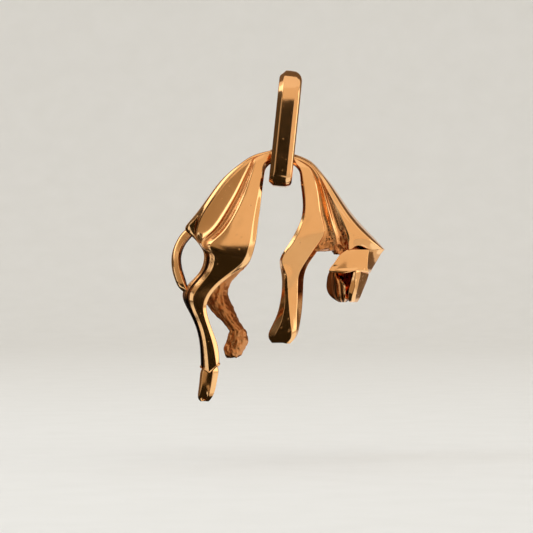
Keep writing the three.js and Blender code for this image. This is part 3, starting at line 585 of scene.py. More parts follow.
# Sockets of a mix node, by number because they share names: factor, two numbers and their mix, two colours
# and their mix
FACTOR = 0
NUMBER_A, NUMBER_B, NUMBER_MIX = 2, 3, 0
COLOUR_A, COLOUR_B, COLOUR_MIX = 6, 7, 2


def linear(colour):
    """A colour written as sRGB hex, as the linear values that a shader takes."""
    channels = [int(colour[i:i + 2], 16) / 255 for i in (1, 3, 5)]
    return [c / 12.92 if c <= 0.04045 else ((c + 0.055) / 1.055) ** 2.4 for c in channels] + [1.0]


def add_node(tree, kind, inputs, **settings):
    """A node with its settings; an input is a value, or another node's output that is linked to it."""
    node = tree.nodes.new(kind)
    for name, value in settings.items():
        setattr(node, name, value)
    for name, value in inputs.items():
        if isinstance(value, bpy.types.NodeSocket):
            tree.links.new(value, node.inputs[name])
        else:
            node.inputs[name].default_value = value
    return node


def new_material(name):
    """An empty material, and the tree that its nodes go into."""
    material = bpy.data.materials.new(name)
    material.use_nodes = True
    material.node_tree.nodes.clear()
    return material, material.node_tree


def per(millimetres):
    """The scale of a pattern whose features have that size."""
    return 1 / (millimetres * MM)


def gold(name, light, deep, roughness, waves, pits):
    """Cast gold: its tone drifts, the wheel left faint waves, rough places stay dull and brown, and painted
    shade darkens it towards near black where marked.
    """
    material, tree = new_material(name)
    place = add_node(tree, "ShaderNodeTexCoord", {}).outputs["Object"]
    cast = add_node(tree, "ShaderNodeAttribute", {}, attribute_name="cast").outputs["Fac"]
    noise = {}
    for pattern, (span, layers) in PATTERNS.items():
        texture = add_node(tree, "ShaderNodeTexNoise", {
            "Vector": place, "Scale": per(span), "Detail": layers,
        })
        noise[pattern] = texture.outputs["Fac"]
    tone = add_node(tree, "ShaderNodeMix", {
        FACTOR: noise["tone"], COLOUR_A: linear(light), COLOUR_B: linear(deep),
    }, data_type="RGBA")
    raw = add_node(tree, "ShaderNodeMix", {
        FACTOR: cast, COLOUR_A: tone.outputs[COLOUR_MIX], COLOUR_B: linear(RAW_TONE),
    }, data_type="RGBA")
    # Painted shade: past raw, the colour blends towards near black
    corner = add_node(tree, "ShaderNodeMath", {0: cast, 1: CAST}, operation="SUBTRACT")
    colour = add_node(tree, "ShaderNodeMix", {
        FACTOR: corner.outputs["Value"], COLOUR_A: raw.outputs[COLOUR_MIX], COLOUR_B: linear(PAINTED_SHADE_TONE),
    }, data_type="RGBA")
    bright, dim = SMEAR_RANGE
    shine = add_node(tree, "ShaderNodeMapRange", {
        "Value": noise["smears"], "To Min": roughness * bright, "To Max": roughness * dim,
    })
    rough = add_node(tree, "ShaderNodeMix", {
        FACTOR: cast, NUMBER_A: shine.outputs["Result"], NUMBER_B: RAW_ROUGHNESS,
    })
    waved = add_node(tree, "ShaderNodeBump", {
        "Height": noise["waves"], "Distance": waves * MM, "Strength": 1.0,
    })
    pitted = add_node(tree, "ShaderNodeMapRange", {
        "Value": noise["pits"], "From Min": PIT_EDGES[0], "From Max": PIT_EDGES[1],
    })
    pocked = add_node(tree, "ShaderNodeBump", {
        "Height": pitted.outputs["Result"], "Distance": pits * MM, "Strength": 1.0,
        "Normal": waved.outputs["Normal"],
    }, invert=True)
    grainy = add_node(tree, "ShaderNodeBump", {
        "Height": noise["grain"], "Distance": GRAIN_HEIGHT * MM, "Strength": cast,
        "Normal": pocked.outputs["Normal"],
    })
    shader = add_node(tree, "ShaderNodeBsdfPrincipled", {
        "Base Color": colour.outputs[COLOUR_MIX], "Metallic": 1.0, "Roughness": rough.outputs[NUMBER_MIX],
        "Normal": grainy.outputs["Normal"],
    })
    add_node(tree, "ShaderNodeOutputMaterial", {"Surface": shader.outputs["BSDF"]})
    return material


def held(values, stations):
    """A value for each station: the last one given holds from there to the end."""
    return values + values[-1:] * (stations - len(values))


def marked(skin, finish, stations):
    """The finishes and painted shade along a line of the skin, with another value at some stations."""
    return [finish if i in stations else cast for i, cast in enumerate(skin)]


def placed(points, side, end):
    """A guide's points in space, on one side of the mid-plane."""
    return [Vector((end.x + x * MM, side * depth * MM, end.z + z * MM)) for x, z, depth in points]


def on_waist(end, middle, degrees, side, share=1.0):
    """A point on the oval that laps a little over the waist's end, or a share of the way out to it."""
    angle = math.radians(degrees)
    depth = share * WAIST_END_DEPTH / 2 * math.cos(angle)
    rise = share * WAIST_END_HEIGHT / 2 * math.sin(angle)
    lap = math.copysign(WAIST_LAP * MM, WAIST.x - end.x)
    return Vector((end.x + lap, side * depth * MM, end.z + (middle + rise) * MM))


def guides_from_waist(table, angles, side, end, middle):
    """The guides of a table in space, each from its own place on the oval of the waist's end."""
    return {name: [on_waist(end, middle, angle, side)] + placed(table[name], side, end)
            for name, angle in angles.items()}


def at_depth(point, depth):
    """The same point in the side view, at another depth."""
    return Vector((point.x, depth, point.z))


def towards(point, goal, distance):
    """A point moved a set distance towards another, in the side view only."""
    step = Vector((goal.x - point.x, 0, goal.z - point.z))
    return point + step.normalized() * min(distance * MM, step.length / 2)


def between(a, b, share, lift, side):
    """A guide between two others, pushed out of the body by one lift, or by a lift for each station."""
    middle = [p.lerp(q, share) for p, q in zip(a, b)]
    lifts = lift if isinstance(lift, list) else [0, lift]
    for point, height in zip(middle, held(lifts, len(middle))):
        point.y += side * height * MM
    return middle


def under(a, ridge, rows, side):
    """A guide between another and a ridge: for each station a share of the way, and a depth under it."""
    line = []
    for p, q, (share, drop) in zip(a, ridge, held(rows, len(ridge))):
        line.append(at_depth(p.lerp(q, share), q.y - side * drop * MM))
    return line


def through(points, looped):
    """Cage points whose smooth curve, with a sixth from each neighbour, runs through the guide's points."""
    cage = [p.copy() for p in points]
    count = len(points)
    inner = range(count) if looped else range(1, count - 1)
    for _ in range(PULLS):
        for i in inner:
            cage[i] += points[i] - (cage[i - 1] + 4 * cage[i] + cage[(i + 1) % count]) / 6
    return cage


def guide(points, edge=0.0, cast=POLISHED):
    """A line that the skin follows: its points, how wide its rounded edge is, how rough it was left, and
    how much shade is painted on it.
    """
    return {"points": points, "edge": edge, "cast": cast}


def flanked(guides):
    """Each ridge gets a line close on both sides, so that its edge stays narrow after smoothing."""
    lines = []
    for i, line in enumerate(guides):
        points, cast = line["points"], line["cast"]
        if not line["edge"]:
            lines.append((i, points, cast))
            continue
        before = guides[i - 1]["points"]
        after = guides[(i + 1) % len(guides)]["points"]
        for side in (before, points, after):
            flank = []
            for p, q in zip(points, side):
                step = q - p
                reach = min(line["edge"] * MM, step.length * FLANK_LIMIT)
                flank.append(p + step.normalized() * reach)
            lines.append((i, flank, cast))
    return lines


def grid_over(name, lines, looped, side):
    """A grid with a column of points for each line, which note their guide, their row, and their finish and
    painted shade.
    """
    across = len(lines)
    cage = [through(points, looped) for _, points, _ in lines]
    rows = len(cage[0])
    bpy.ops.object.select_all(action="DESELECT")
    bpy.ops.mesh.primitive_grid_add(x_subdivisions=across, y_subdivisions=rows if looped else rows - 1)
    piece = bpy.context.object
    piece.name = name
    mesh = piece.data
    column_of = mesh.attributes.new("column", "INT", "POINT")
    row_of = mesh.attributes.new("row", "INT", "POINT")
    cast_of = mesh.attributes.new("cast", "FLOAT", "POINT")
    for vertex in mesh.vertices:
        row, column = divmod(vertex.index, across + 1)
        row %= rows
        column %= across
        point = cage[column][row].copy()
        if side:
            point.y = side * max(side * point.y, 0)
        vertex.co = point
        source, _, cast = lines[column]
        column_of.data[vertex.index].value = source
        row_of.data[vertex.index].value = row
        cast_of.data[vertex.index].value = cast[row] if isinstance(cast, list) else cast
    return piece


def close_up(looped):
    """The grid in hand is joined along its edge, and its ends, unless they met, are creased and filled."""
    bpy.ops.object.mode_set(mode="EDIT")
    bpy.ops.mesh.select_mode(type="EDGE")
    bpy.ops.mesh.select_all(action="SELECT")
    bpy.ops.mesh.remove_doubles(threshold=MERGE)
    if not looped:
        bpy.ops.mesh.select_all(action="DESELECT")
        bpy.ops.mesh.select_non_manifold()
        bpy.ops.transform.edge_crease(value=END_CREASE)
        bpy.ops.mesh.select_all(action="SELECT")
        bpy.ops.mesh.fill_holes(sides=0)
    bpy.ops.mesh.select_all(action="SELECT")
    bpy.ops.mesh.normals_make_consistent(inside=False)
    bpy.ops.object.mode_set(mode="OBJECT")


def crease(mesh, ledges, seams):
    """Edges along a seam's guide, and those of a ledge's row between two guides, stay sharp."""
    columns = [value.value for value in mesh.attributes["column"].data]
    stations = [value.value for value in mesh.attributes["row"].data]
    creases = mesh.attributes.get("crease_edge") or mesh.attributes.new("crease_edge", "FLOAT", "EDGE")
    for edge in mesh.edges:
        a, b = edge.vertices
        along = columns[a] == columns[b] and stations[a] != stations[b]
        if along and columns[a] in seams:
            creases.data[edge.index].value = SEAM_CREASE
        for ledge, first, last in ledges:
            within = first <= columns[a] <= last and first <= columns[b] <= last
            if stations[a] == stations[b] == ledge and within:
                creases.data[edge.index].value = LEDGE_CREASE
    mesh.attributes.remove(mesh.attributes["column"])
    mesh.attributes.remove(mesh.attributes["row"])


def lay(name, guides, ledges=(), seams=(), looped=False, side=0):
    """A sheet laid over guides, closed round the body and over its ends, then smoothed."""
    piece = grid_over(name, flanked(guides), looped, side)
    close_up(looped)
    crease(piece.data, ledges, seams)
    smooth = piece.modifiers.new("smooth", "SUBSURF")
    smooth.levels = smooth.render_levels = SMOOTHING
    bpy.ops.object.modifier_apply(modifier="smooth")
    bpy.ops.object.shade_smooth_by_angle(angle=SHARP_ANGLE)
    return piece


def joined(first, *others):
    """Several sheets made into one piece, which keeps the first one's name."""
    bpy.ops.object.select_all(action="DESELECT")
    for piece in (first, *others):
        piece.select_set(True)
    bpy.context.view_layer.objects.active = first
    bpy.ops.object.join()
    return first


def roughen(piece, height, span):
    """Where the skin was left raw, and where shade is painted, its surface gets lumps."""
    group = piece.vertex_groups.new(name="rough")
    for vertex, cast in zip(piece.data.vertices, piece.data.attributes["cast"].data):
        weight = min((cast.value - ROUGH_FROM) / (CAST - ROUGH_FROM), 1)
        if weight > 0:
            group.add([vertex.index], weight, "REPLACE")
    lumps = bpy.data.textures.new(piece.name + "_lumps", "CLOUDS")
    lumps.noise_scale = span * MM
    lumps.noise_depth = LUMP_LAYERS
    push = piece.modifiers.new("lumps", "DISPLACE")
    push.texture = lumps
    push.texture_coords = "LOCAL"
    push.strength = height * MM
    push.vertex_group = group.name
    bpy.context.view_layer.objects.active = piece
    bpy.ops.object.modifier_apply(modifier="lumps")


def fit(piece, material, node, body):
    """A finished piece takes its material, stands for its node and moves with its body."""
    piece.data.materials.append(material)
    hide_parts(node)
    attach(piece, body)


def haunch_guides(side):
    """The guides of one haunch; on the far side they go on into that leg's own outlines."""
    guides = guides_from_waist(HAUNCH, HAUNCH_ANGLES, side, HIND, HIND_MIDDLE)
    if side == FAR:
        for name, (share, depth) in FAR_LEG_LINES.items():
            back = placed([(x, z, depth) for x, z in FAR_LEG_BACK], side, HIND)
            front = placed([(x, z, depth) for x, z in FAR_LEG_FRONT], side, HIND)
            guides[name] = guides[name][:FAR_LEG_FROM + 1] + between(back, front, share, 0, side)
    return guides


def haunch_lining(guides, side):
    """Three lines over the inside: a thin wall where it is hollow, a flat face where the leg is solid."""
    lip, middle, back = [], [], []
    hollows = held(HAUNCH_HOLLOW, len(guides["spine"]))
    for edge, spine, ridge, hollow in zip(guides["edge"], guides["spine"], guides["thigh_ridge"], hollows):
        inside = ridge.y - side * WALL * MM
        open_lip = at_depth(towards(edge, spine, LIP), edge.y - side * LIP_DEPTH * MM)
        open_middle = at_depth(edge.lerp(spine, LINING_SHARES["middle"]), inside)
        open_back = at_depth(towards(spine, edge, SPINE_WALL), spine.y)
        solid = {name: at_depth(edge.lerp(spine, share), spine.y) for name, share in LINING_SHARES.items()}
        lip.append(solid["lip"].lerp(open_lip, max(hollow, SOLID_LIP)))
        middle.append(solid["middle"].lerp(open_middle, hollow))
        back.append(solid["back"].lerp(open_back, hollow))
    for column, angle in zip((lip, middle, back), LINING_ANGLES.values()):
        column[0] = on_waist(HIND, HIND_MIDDLE, angle, side)
    return lip, middle, back


def bead(name, guides):
    """A round bead along the last ring of a sheet's guides."""
    ring = [line["points"][-1] for line in guides]
    centre = sum(ring, Vector()) / len(ring)
    lines = []
    for k in range(BEAD_SIDES):
        angle = math.radians(360 * k / BEAD_SIDES)
        column = []
        for point in ring:
            out = Vector((point.x - centre.x, point.y - centre.y, 0)).normalized()
            reach = out * (math.cos(angle) - BEAD_SUNK) + Vector((0, 0, math.sin(angle)))
            column.append(point + reach * (BEAD * MM))
        lines.append(guide(column))
    return lay(name, lines, looped=True)


def haunch(name, side):
    """One half of the hindquarters with its leg, and the ring of guides that the leg ends in."""
    lines = haunch_guides(side)
    crown, rump, back_step = [
        under(lines["spine"], lines["back_ridge"], rows, side) for rows in (BACK_ROUND, RUMP, BACK_STEP)
    ]
    stations = len(crown)
    skin = [POLISHED] * stations
    inner_front = inner_back = [CAST] * stations
    if side == NEAR:
        for station in SOCKET_STATIONS:
            crown[station].y -= side * SOCKET_DEPTH * MM
        # Painted shade: black down the back strip of the leg, in the tail's socket, on the step, at the
        # hole's rim and under the edges beside the waist
        strip = marked(skin, PAINTED_DEEP_SHADE, STRIP_STATIONS)
        socket = marked(strip, PAINTED_DEEP_SHADE, SOCKET_STATIONS)
        step = marked(strip, PAINTED_DEEP_SHADE, STEP_STATIONS)
        rim = marked(strip, PAINTED_DEEP_SHADE, RIM_STATIONS)
        inner_rim = marked(skin, PAINTED_DEEP_SHADE, RIM_STATIONS)
        under_edge = marked(skin, PAINTED_DEEP_SHADE, UNDER_STATIONS)
        inner_front = marked(inner_front, PAINTED_DEEP_SHADE, UNDER_STATIONS)
    else:
        leg = range(FAR_LEG_FROM + 1, stations)
        skin = marked(skin, FAR_LEG_FINISH, leg)
        strip = socket = step = rim = inner_rim = under_edge = skin
        # Painted shade down the inside of the far leg
        inner_back = marked(inner_back, PAINTED_SHADE, leg)
    lip, middle, back = haunch_lining(lines, side)
    leaf = []
    for share, lift in LEAF_FLOOR.items():
        leaf.append(between(lines["back_ridge"], lines["leaf_ridge"], share, lift, side))
    widths = [(q - p).length / MM for p, q in zip(lines["leaf_ridge"], lines["thigh_ridge"])]
    lifts = [-GROOVE_DEPTH * run * width for run, width in zip(held(GROOVE_RUN, stations), widths)]
    groove = []
    for share in GROOVE_FLOOR:
        groove.append(between(lines["leaf_ridge"], lines["thigh_ridge"], share, lifts, side))
    dull = [max(GROOVE_FINISH * fade, cast) for fade, cast in zip(held(GROOVE_FADE, stations), skin)]
    panel = between(lines["thigh_ridge"], lines["front_ridge"], THIGH_PANEL, THIGH_CROWN, side)
    turn = between(lines["thigh_ridge"], lines["front_ridge"], THIGH_TURN, TURN_CROWN, side)
    guides = [
        guide(lines["spine"], 0, skin),
        guide(crown, 0, socket),
        guide(rump, 0, strip),
        guide(back_step, 0, step),
        guide(lines["back_ridge"], RIDGE, strip),
        guide(leaf[0], 0, strip),
        guide(leaf[1], 0, rim),
        guide(leaf[2], 0, inner_rim),
        guide(lines["leaf_ridge"], RIDGE, skin),
        guide(groove[0], 0, dull),
        guide(groove[1], 0, dull),
        guide(lines["thigh_ridge"], RIDGE, skin),
        guide(panel, 0, skin),
        guide(turn, CRISP, skin),
        guide(lines["front_ridge"], RIDGE, skin),
        guide(lines["edge"], RIDGE, under_edge),
        guide(lip, 0, inner_front),
        guide(middle, 0, CAST),
        guide(back, SOFT, inner_back),
    ]
    ankle = [guide([line["points"][-1].copy()], line["edge"]) for line in guides]
    shell = lay(name, guides, seams=[SPINE_SEAM], side=side)
    if side == NEAR:
        shell = joined(shell, bead("ankle_bead", ankle))
    return shell, ankle


def near_paw(name):
    """The near hind paw, a narrow wedge with a cleft between its toes."""
    guides = [guide([], edge) for _, _, edge in NEAR_PAW_SECTION]
    for x, z, half_width, half_depth, cleft in NEAR_PAW:
        middle = placed([(x, z, NEAR_PAW_MIDDLE)], NEAR, HIND)[0]
        for line, (across, out, _) in zip(guides, NEAR_PAW_SECTION):
            notch = cleft if across == NEAR_PAW_CLEFT else 0
            reach = Vector((across * half_width, NEAR * (out * half_depth - notch), notch))
            line["points"].append(middle + reach * MM)
    return lay(name, guides)


def far_paw(name, ankle):
    """The far paw goes on from the ankle's own outline."""
    points = [line["points"][-1] for line in ankle]
    low = Vector([min(values) for values in zip(*points)])
    high = Vector([max(values) for values in zip(*points)])
    centre = (low + high) / 2
    guides = []
    for line, p in zip(ankle, points):
        column = []
        for share, shift, size in FAR_PAW_RINGS:
            level = min(1, share / FAR_PAW_LEVEL)
            tuck = FAR_PAW_TUCK if share == 0 else 0
            column.append(Vector((
                centre.x + shift * MM + (p.x - centre.x) * size,
                centre.y + (p.y - centre.y) * min(size, 1),
                p.z + (low.z - p.z) * level + (tuck - share * FAR_PAW_LENGTH) * MM,
            )))
        guides.append(guide(column, line["edge"], FAR_PAW_FINISH))
    return lay(name, guides)


def shoulder(name, side):
    """A shoulder blade with its foreleg, hollow behind the blade."""
    lines = guides_from_waist(SHOULDER, SHOULDER_ANGLES, side, FORE, FORE_MIDDLE)
    lines["back"] = [on_waist(FORE, FORE_MIDDLE, 0, side, 0)] + placed(SHOULDER["back"], side, FORE)
    toe = between(lines["edge"], lines["bevel"], TOE_SHARE, 0, side)
    leg = placed(FORELEG_TOE, side, FORE)
    toe[-len(leg):] = leg
    stations = len(toe)
    solid = side * FORELEG_BACK * MM
    lip, middle = [], []
    hollows = held(SHOULDER_HOLLOW, stations)
    for edge, bevel, back, hollow in zip(lines["edge"], lines["bevel"], lines["back"], hollows):
        inside = bevel.y - side * WALL * MM
        depth = solid + (inside - solid) * hollow
        middle.append(at_depth(edge.lerp(back, SHOULDER_INSIDE_SHARE), depth))
        lip.append(at_depth(towards(edge, back, LIP), edge.y - side * LIP_DEPTH * MM))
    lip[0] = on_waist(FORE, FORE_MIDDLE, SHOULDER_INSIDE_ANGLES["lip"], side)
    middle[0] = on_waist(FORE, FORE_MIDDLE, SHOULDER_INSIDE_ANGLES["middle"], side)
    panel = []
    for share in SHOULDER_PANEL:
        panel.append(between(lines["bevel"], lines["ridge"], share, SHOULDER_CROWN, side))
    return lay(name, [
        # Painted shade, black, under the edge beside the waist
        guide(lines["edge"], RIDGE, marked([POLISHED] * stations, PAINTED_DEEP_SHADE, UNDER_STATIONS)),
        guide(toe, CRISP),
        guide(lines["bevel"], RIDGE),
        guide(panel[0]),
        guide(panel[1]),
        guide(panel[2], CRISP),
        guide(lines["ridge"], RIDGE),
        guide(lines["back"], SOFT, DULL),
        guide(middle, 0, CAST),
        guide(lip, 0, CAST),
    ], side=side)


def neck_outside(lines, side):
    """Lines over one side of the neck, from the chest to beside the spine; grooves and hem are raw."""
    stations = len(lines["spine"])
    rim = [POLISHED] + [GROOVE_FINISH] * (stations - 3) + [CAST, CAST]
    hem = [POLISHED] * (stations - 2) + [HEM_FINISH, CAST]
    panels = []
    for share, cut in MANTLE_PANELS.items():
        line = between(lines["mantle"], lines["nape_ridge"], share, NECK_CROWN, side)
        if side == NEAR:
            line[-1].z += cut * MM
        panels.append(guide(line))
    nape = []
    for share, height in NAPE_ROUND.items():
        pairs = zip(lines["nape_ridge"], lines["spine"])
        nape.append(guide([at_depth(p.lerp(q, share), p.y * height) for p, q in pairs]))
    return [
        guide(lines["side"], SOFT, hem),
        guide(lines["groove"], 0, rim),
        guide(lines["rib"], RIDGE, hem),
        guide(lines["channel"], 0, rim),
        guide(between(lines["channel"], lines["mantle"], CHANNEL_WALL, 0, side), 0, rim),
        guide(lines["mantle"], RIDGE),
        *panels,
        guide(lines["nape_ridge"], SOFT),
        *nape,
    ]


def neck_inside(points, side):
    """A line inside the neck, a wall's thickness behind one on its outside."""
    start = on_waist(FORE, FORE_MIDDLE, NECK_INSIDE_ANGLE, side, NECK_INSIDE_SHARE)
    deep = [at_depth(p, side * max(abs(p.y) - WALL * MM, LEAST_DEPTH * MM)) for p in points[1:]]
    return guide([start] + deep, 0, CAST)


def neck(name):
    """The hood over both sides of the neck, open underneath."""
    near = guides_from_waist(NECK, NECK_ANGLES, NEAR, FORE, FORE_MIDDLE)
    far = guides_from_waist(NECK, NECK_ANGLES, FAR, FORE, FORE_MIDDLE)
    under_spine = [at_depth(towards(p, q, SPINE_WALL), 0) for p, q in zip(near["spine"], near["side"])]
    under_spine[0] = on_waist(FORE, FORE_MIDDLE, NECK_ANGLES["spine"], NEAR, NECK_SPINE_SHARE)
    return lay(name, [
        *neck_outside(near, NEAR),
        guide(near["spine"], SOFT),
        *reversed(neck_outside(far, FAR)),
        neck_inside(far["side"], FAR),
        neck_inside(far["mantle"], FAR),
        guide(under_spine, 0, CAST),
        neck_inside(near["mantle"], NEAR),
        neck_inside(near["side"], NEAR),
    ])


def head_part(name, table, edges, finishes, ledges=()):
    """A part of the head, laid over the guides of its table."""
    guides = []
    for line, points in table.items():
        guides.append(guide(placed(points, NEAR, FORE), edges.get(line, 0), finishes.get(line, POLISHED)))
    return lay(name, guides, ledges=ledges)


def swept(route, widths, depths, section):
    """Guides of a bar whose section is carried along a route in the side view."""
    guides = [guide([], edge, cast) for _, _, edge, cast in section]
    for i, point in enumerate(route):
        along = route[min(i + 1, len(route) - 1)] - route[max(i - 1, 0)]
        along.y = 0
        along.normalize()
        outwards = Vector((along.z, 0, -along.x))
        for line, (across, deep, *_) in zip(guides, section):
            at = point + outwards * (across * widths[i] * MM)
            at.y += NEAR * deep * depths[i] * MM
            line["points"].append(at)
    return guides


def head(name):
    """Skull with the overhanging brow, muzzle, jaw and folded ear, in one piece."""
    skull = head_part(name, SKULL, SKULL_EDGES, {}, ledges=[BROW])
    muzzle = head_part("muzzle", MUZZLE, MUZZLE_EDGES, {})
    jaw = head_part("jaw", JAW, JAW_EDGES, JAW_FINISHES_AND_SHADE)
    route = placed([(x, z, depth) for x, z, depth, _ in EAR], NEAR, FORE)
    widths = [width for *_, width in EAR]
    ear = lay("ear", swept(route, widths, widths, EAR_SECTION))
    roughen(ear, EAR_LUMP_HEIGHT, FINE_LUMP_SPAN)
    return joined(skull, muzzle, jaw, ear)


def tail(name):
    """The tail, a curved bar with painted shade along its inner edge."""
    route = placed([(x, z, depth) for x, z, depth, _ in TAIL], NEAR, HIND)
    widths = [width for *_, width in TAIL]
    return lay(name, swept(route, widths, [TAIL_DEPTH] * len(TAIL), TAIL_SECTION))


def waist(name):
    """The bar that the bail hangs on, oval at its ends and rounder in the middle."""
    half = (FORE.x - HIND.x) / 2
    guides = []
    for k in range(WAIST_SIDES):
        degrees = 360 * k / WAIST_SIDES
        angle = math.radians(degrees)
        column = []
        for share, roundness in WAIST_STATIONS:
            end, middle = (HIND, HIND_MIDDLE) if share < 0 else (FORE, FORE_MIDDLE)
            oval = on_waist(end, middle, degrees, FAR, WAIST_SLACK)
            circle = WAIST + Vector((0, math.cos(angle), math.sin(angle))) * (WAIST_RADIUS * MM)
            point = oval.lerp(circle, roundness)
            point.x = WAIST.x + share * half
            column.append(point)
        guides.append(guide(column))
    return lay(name, guides)


def bend(middle, level, radius, start, stop, steps):
    """Places along a bend of the strap: depth, height and the direction that faces outwards."""
    places = []
    for k in range(steps + 1):
        angle = math.radians(start + (stop - start) * k / steps)
        places.append((middle + radius * math.cos(angle), level + radius * math.sin(angle), angle))
    return places


def straight(start, stop, angle, steps):
    """Places along a straight run of the strap, without its two ends."""
    (y, z), (end_y, end_z) = start, stop
    shares = [(k + 1) / (steps + 1) for k in range(steps)]
    return [(y + (end_y - y) * share, z + (end_z - z) * share, angle) for share in shares]


def bail(name):
    """The strap's section, carried round a loop that is square at the foot and round at the top."""
    wide = BAIL_WIDTH / 2
    thick = BAIL_THICKNESS / 2
    half = BAIL_INSIDE_DEPTH / 2 + thick
    corner = BAIL_FOOT_RADIUS + thick
    low = corner - BAIL_FOOT - thick
    high = BAIL_INSIDE_TOP + thick - half
    foot = low - corner
    route = bend(corner - half, low, corner, 180, 270, BAIL_FOOT_STEPS)
    route += straight((corner - half, foot), (half - corner, foot), math.radians(270), BAIL_SOLE_STEPS)
    route += bend(half - corner, low, corner, 270, 360, BAIL_FOOT_STEPS)
    route += straight((half, low), (half, high), 0, BAIL_SIDE_STEPS)
    route += bend(0, high, half, 0, 180, BAIL_BEND_STEPS)
    route += straight((-half, high), (-half, low), math.pi, BAIL_SIDE_STEPS)
    turn = Vector((math.cos(BAIL_TILT), math.sin(BAIL_TILT)))
    guides = []
    for across, out, edge in BAIL_SECTION:
        column = []
        for y, z, angle in route:
            rise = max(0, (z - high) / half - BAIL_DRAW_FROM) / (1 - BAIL_DRAW_FROM)
            x = across * wide * (1 - BAIL_DRAW * rise ** 2)
            depth = y + out * thick * math.cos(angle)
            height = z + out * thick * math.sin(angle)
            turned = Vector((x * turn.x + height * turn.y, depth, height * turn.x - x * turn.y))
            column.append(WAIST + turned * MM)
        guides.append(guide(column, edge))
    return lay(name, guides, looped=True)


# Gold, polished on a wheel: a warm mirror with faint waves; heights of waves and pits are in millimetres
POLISHED_GOLD = gold(
    "polished_gold", light="#F2B679", deep="#E6A768", roughness=0.12, waves=0.009, pits=0.012,
)

# The strap's gold, rubbed by whatever carries it: flatter, with deeper small marks
BAIL_GOLD = gold("worn_gold", light="#F0B57A", deep="#E0A368", roughness=0.11, waves=0.006, pits=0.014)

# Gold as it came out of the mould: dull, brown where raw and grainy, with painted shade in its hollows
# where marked
CAST_GOLD = gold("cast_gold", light="#E4A968", deep="#CF8C4B", roughness=0.24, waves=0.006, pits=0.012)

# The charm
near_haunch, _ = haunch("near_haunch_shell", NEAR)
far_haunch, far_ankle = haunch("far_haunch_shell", FAR)
roughen(far_haunch, LUMP_HEIGHT, LUMP_SPAN)
near_foot = near_paw("near_hind_foot")
far_foot = far_paw("far_hind_foot", far_ankle)
roughen(far_foot, LUMP_HEIGHT, LUMP_SPAN)
hood = neck("neck_hood")
roughen(hood, HEM_LUMP_HEIGHT, FINE_LUMP_SPAN)
fit(near_haunch, POLISHED_GOLD, "near_haunch", "panther")
fit(far_haunch, CAST_GOLD, "far_haunch", "panther")
fit(near_foot, POLISHED_GOLD, "near_hind_paw", "panther")
fit(far_foot, CAST_GOLD, "far_hind_paw", "panther")
fit(shoulder("near_shoulder_blade", NEAR), POLISHED_GOLD, "near_shoulder", "panther")
fit(shoulder("far_shoulder_blade", FAR), POLISHED_GOLD, "far_shoulder", "panther")
fit(hood, POLISHED_GOLD, "neck_mantle", "panther")
fit(head("panther_head"), POLISHED_GOLD, "head", "panther")
fit(tail("tail_bar"), POLISHED_GOLD, "tail", "panther")
fit(waist("waist_bar"), POLISHED_GOLD, "waist_saddle", "panther")
fit(bail("bail_strap"), BAIL_GOLD, "bail_loop", "bail")

# Stage: a pale floor that sweeps up all round, two soft lamps, and cards that only reflections see
CENTRE = (cad_low + cad_high) / 2
UPRIGHT = (math.pi / 2, 0, 0)
SIDEWAYS = (0, math.pi / 2, 0)
LEVEL = (0, 0, 0)

# The floor: how far it lies under the charm, and the sizes of its sweep
FLOOR_GAP = 6 * MM
SWEEP_RADIUS = 420 * MM
SWEEP_BEND = 160 * MM
SWEEP_TOP = 300 * MM
SWEEP_SIDES = 96
BEND_STEPS = 8

# Its paper: two tones, size of a cloud of fibres in millimetres, layers of finer noise, and no gloss at all
PAPER_LIGHT = "#E8E6E2"
PAPER_DEEP = "#E2E0DB"
FIBRE_SPAN = 6
FIBRE_LAYERS = 4.0
PAPER_ROUGHNESS = 0.9
PAPER_GLOSS = 0.0

# Light from all round, and the lamps: place from the charm's middle and size, in millimetres, and radiance
ROOM_LIGHT = "#FFFDFA"
ROOM_STRENGTH = 1.08
DAYLIGHT = "#E3F1FF"
LAMPS = {
    "side": ((300, -100, 30), (160, 300), 1.6),
    "corner": ((-235, -80, 175), (170, 220), 1.9),
}

# A ring behind the charm: how far behind, the radius of its hole, and how many times wider it is outside
RING_BEHIND = Vector((0, 60 * MM, 0))
RING_HOLE = 45 * MM
RING_GROWTH = 5.5

# Camera: the photograph's square-on view, the middle of its frame and the size of a pixel on the charm
VIEW_X = -2.43 * MM
VIEW_Z = -18.8 * MM
VIEW_DISTANCE = 300 * MM
VIEW_START = 10 * MM
PIXEL = 0.1 * MM
FRAME_PIXELS = 533


def floor_paper(name):
    """Matt paper: pale and even, with a trace of fibre."""
    material, tree = new_material(name)
    place = add_node(tree, "ShaderNodeTexCoord", {}).outputs["Object"]
    fibre = add_node(tree, "ShaderNodeTexNoise", {
        "Vector": place, "Scale": per(FIBRE_SPAN), "Detail": FIBRE_LAYERS,
    })
    shade = add_node(tree, "ShaderNodeMix", {
        FACTOR: fibre.outputs["Fac"], COLOUR_A: linear(PAPER_LIGHT), COLOUR_B: linear(PAPER_DEEP),
    }, data_type="RGBA")
    shader = add_node(tree, "ShaderNodeBsdfPrincipled", {
        "Base Color": shade.outputs[COLOUR_MIX], "Roughness": PAPER_ROUGHNESS,
        "Specular IOR Level": PAPER_GLOSS,
    })
    add_node(tree, "ShaderNodeOutputMaterial", {"Surface": shader.outputs["BSDF"]})
    return material


def card_paper(name, colour):
    """Plain matt card, which only takes light away from a reflection."""
    material, tree = new_material(name)
    shader = add_node(tree, "ShaderNodeBsdfDiffuse", {"Color": linear(colour)})
    add_node(tree, "ShaderNodeOutputMaterial", {"Surface": shader.outputs["BSDF"]})
    return material


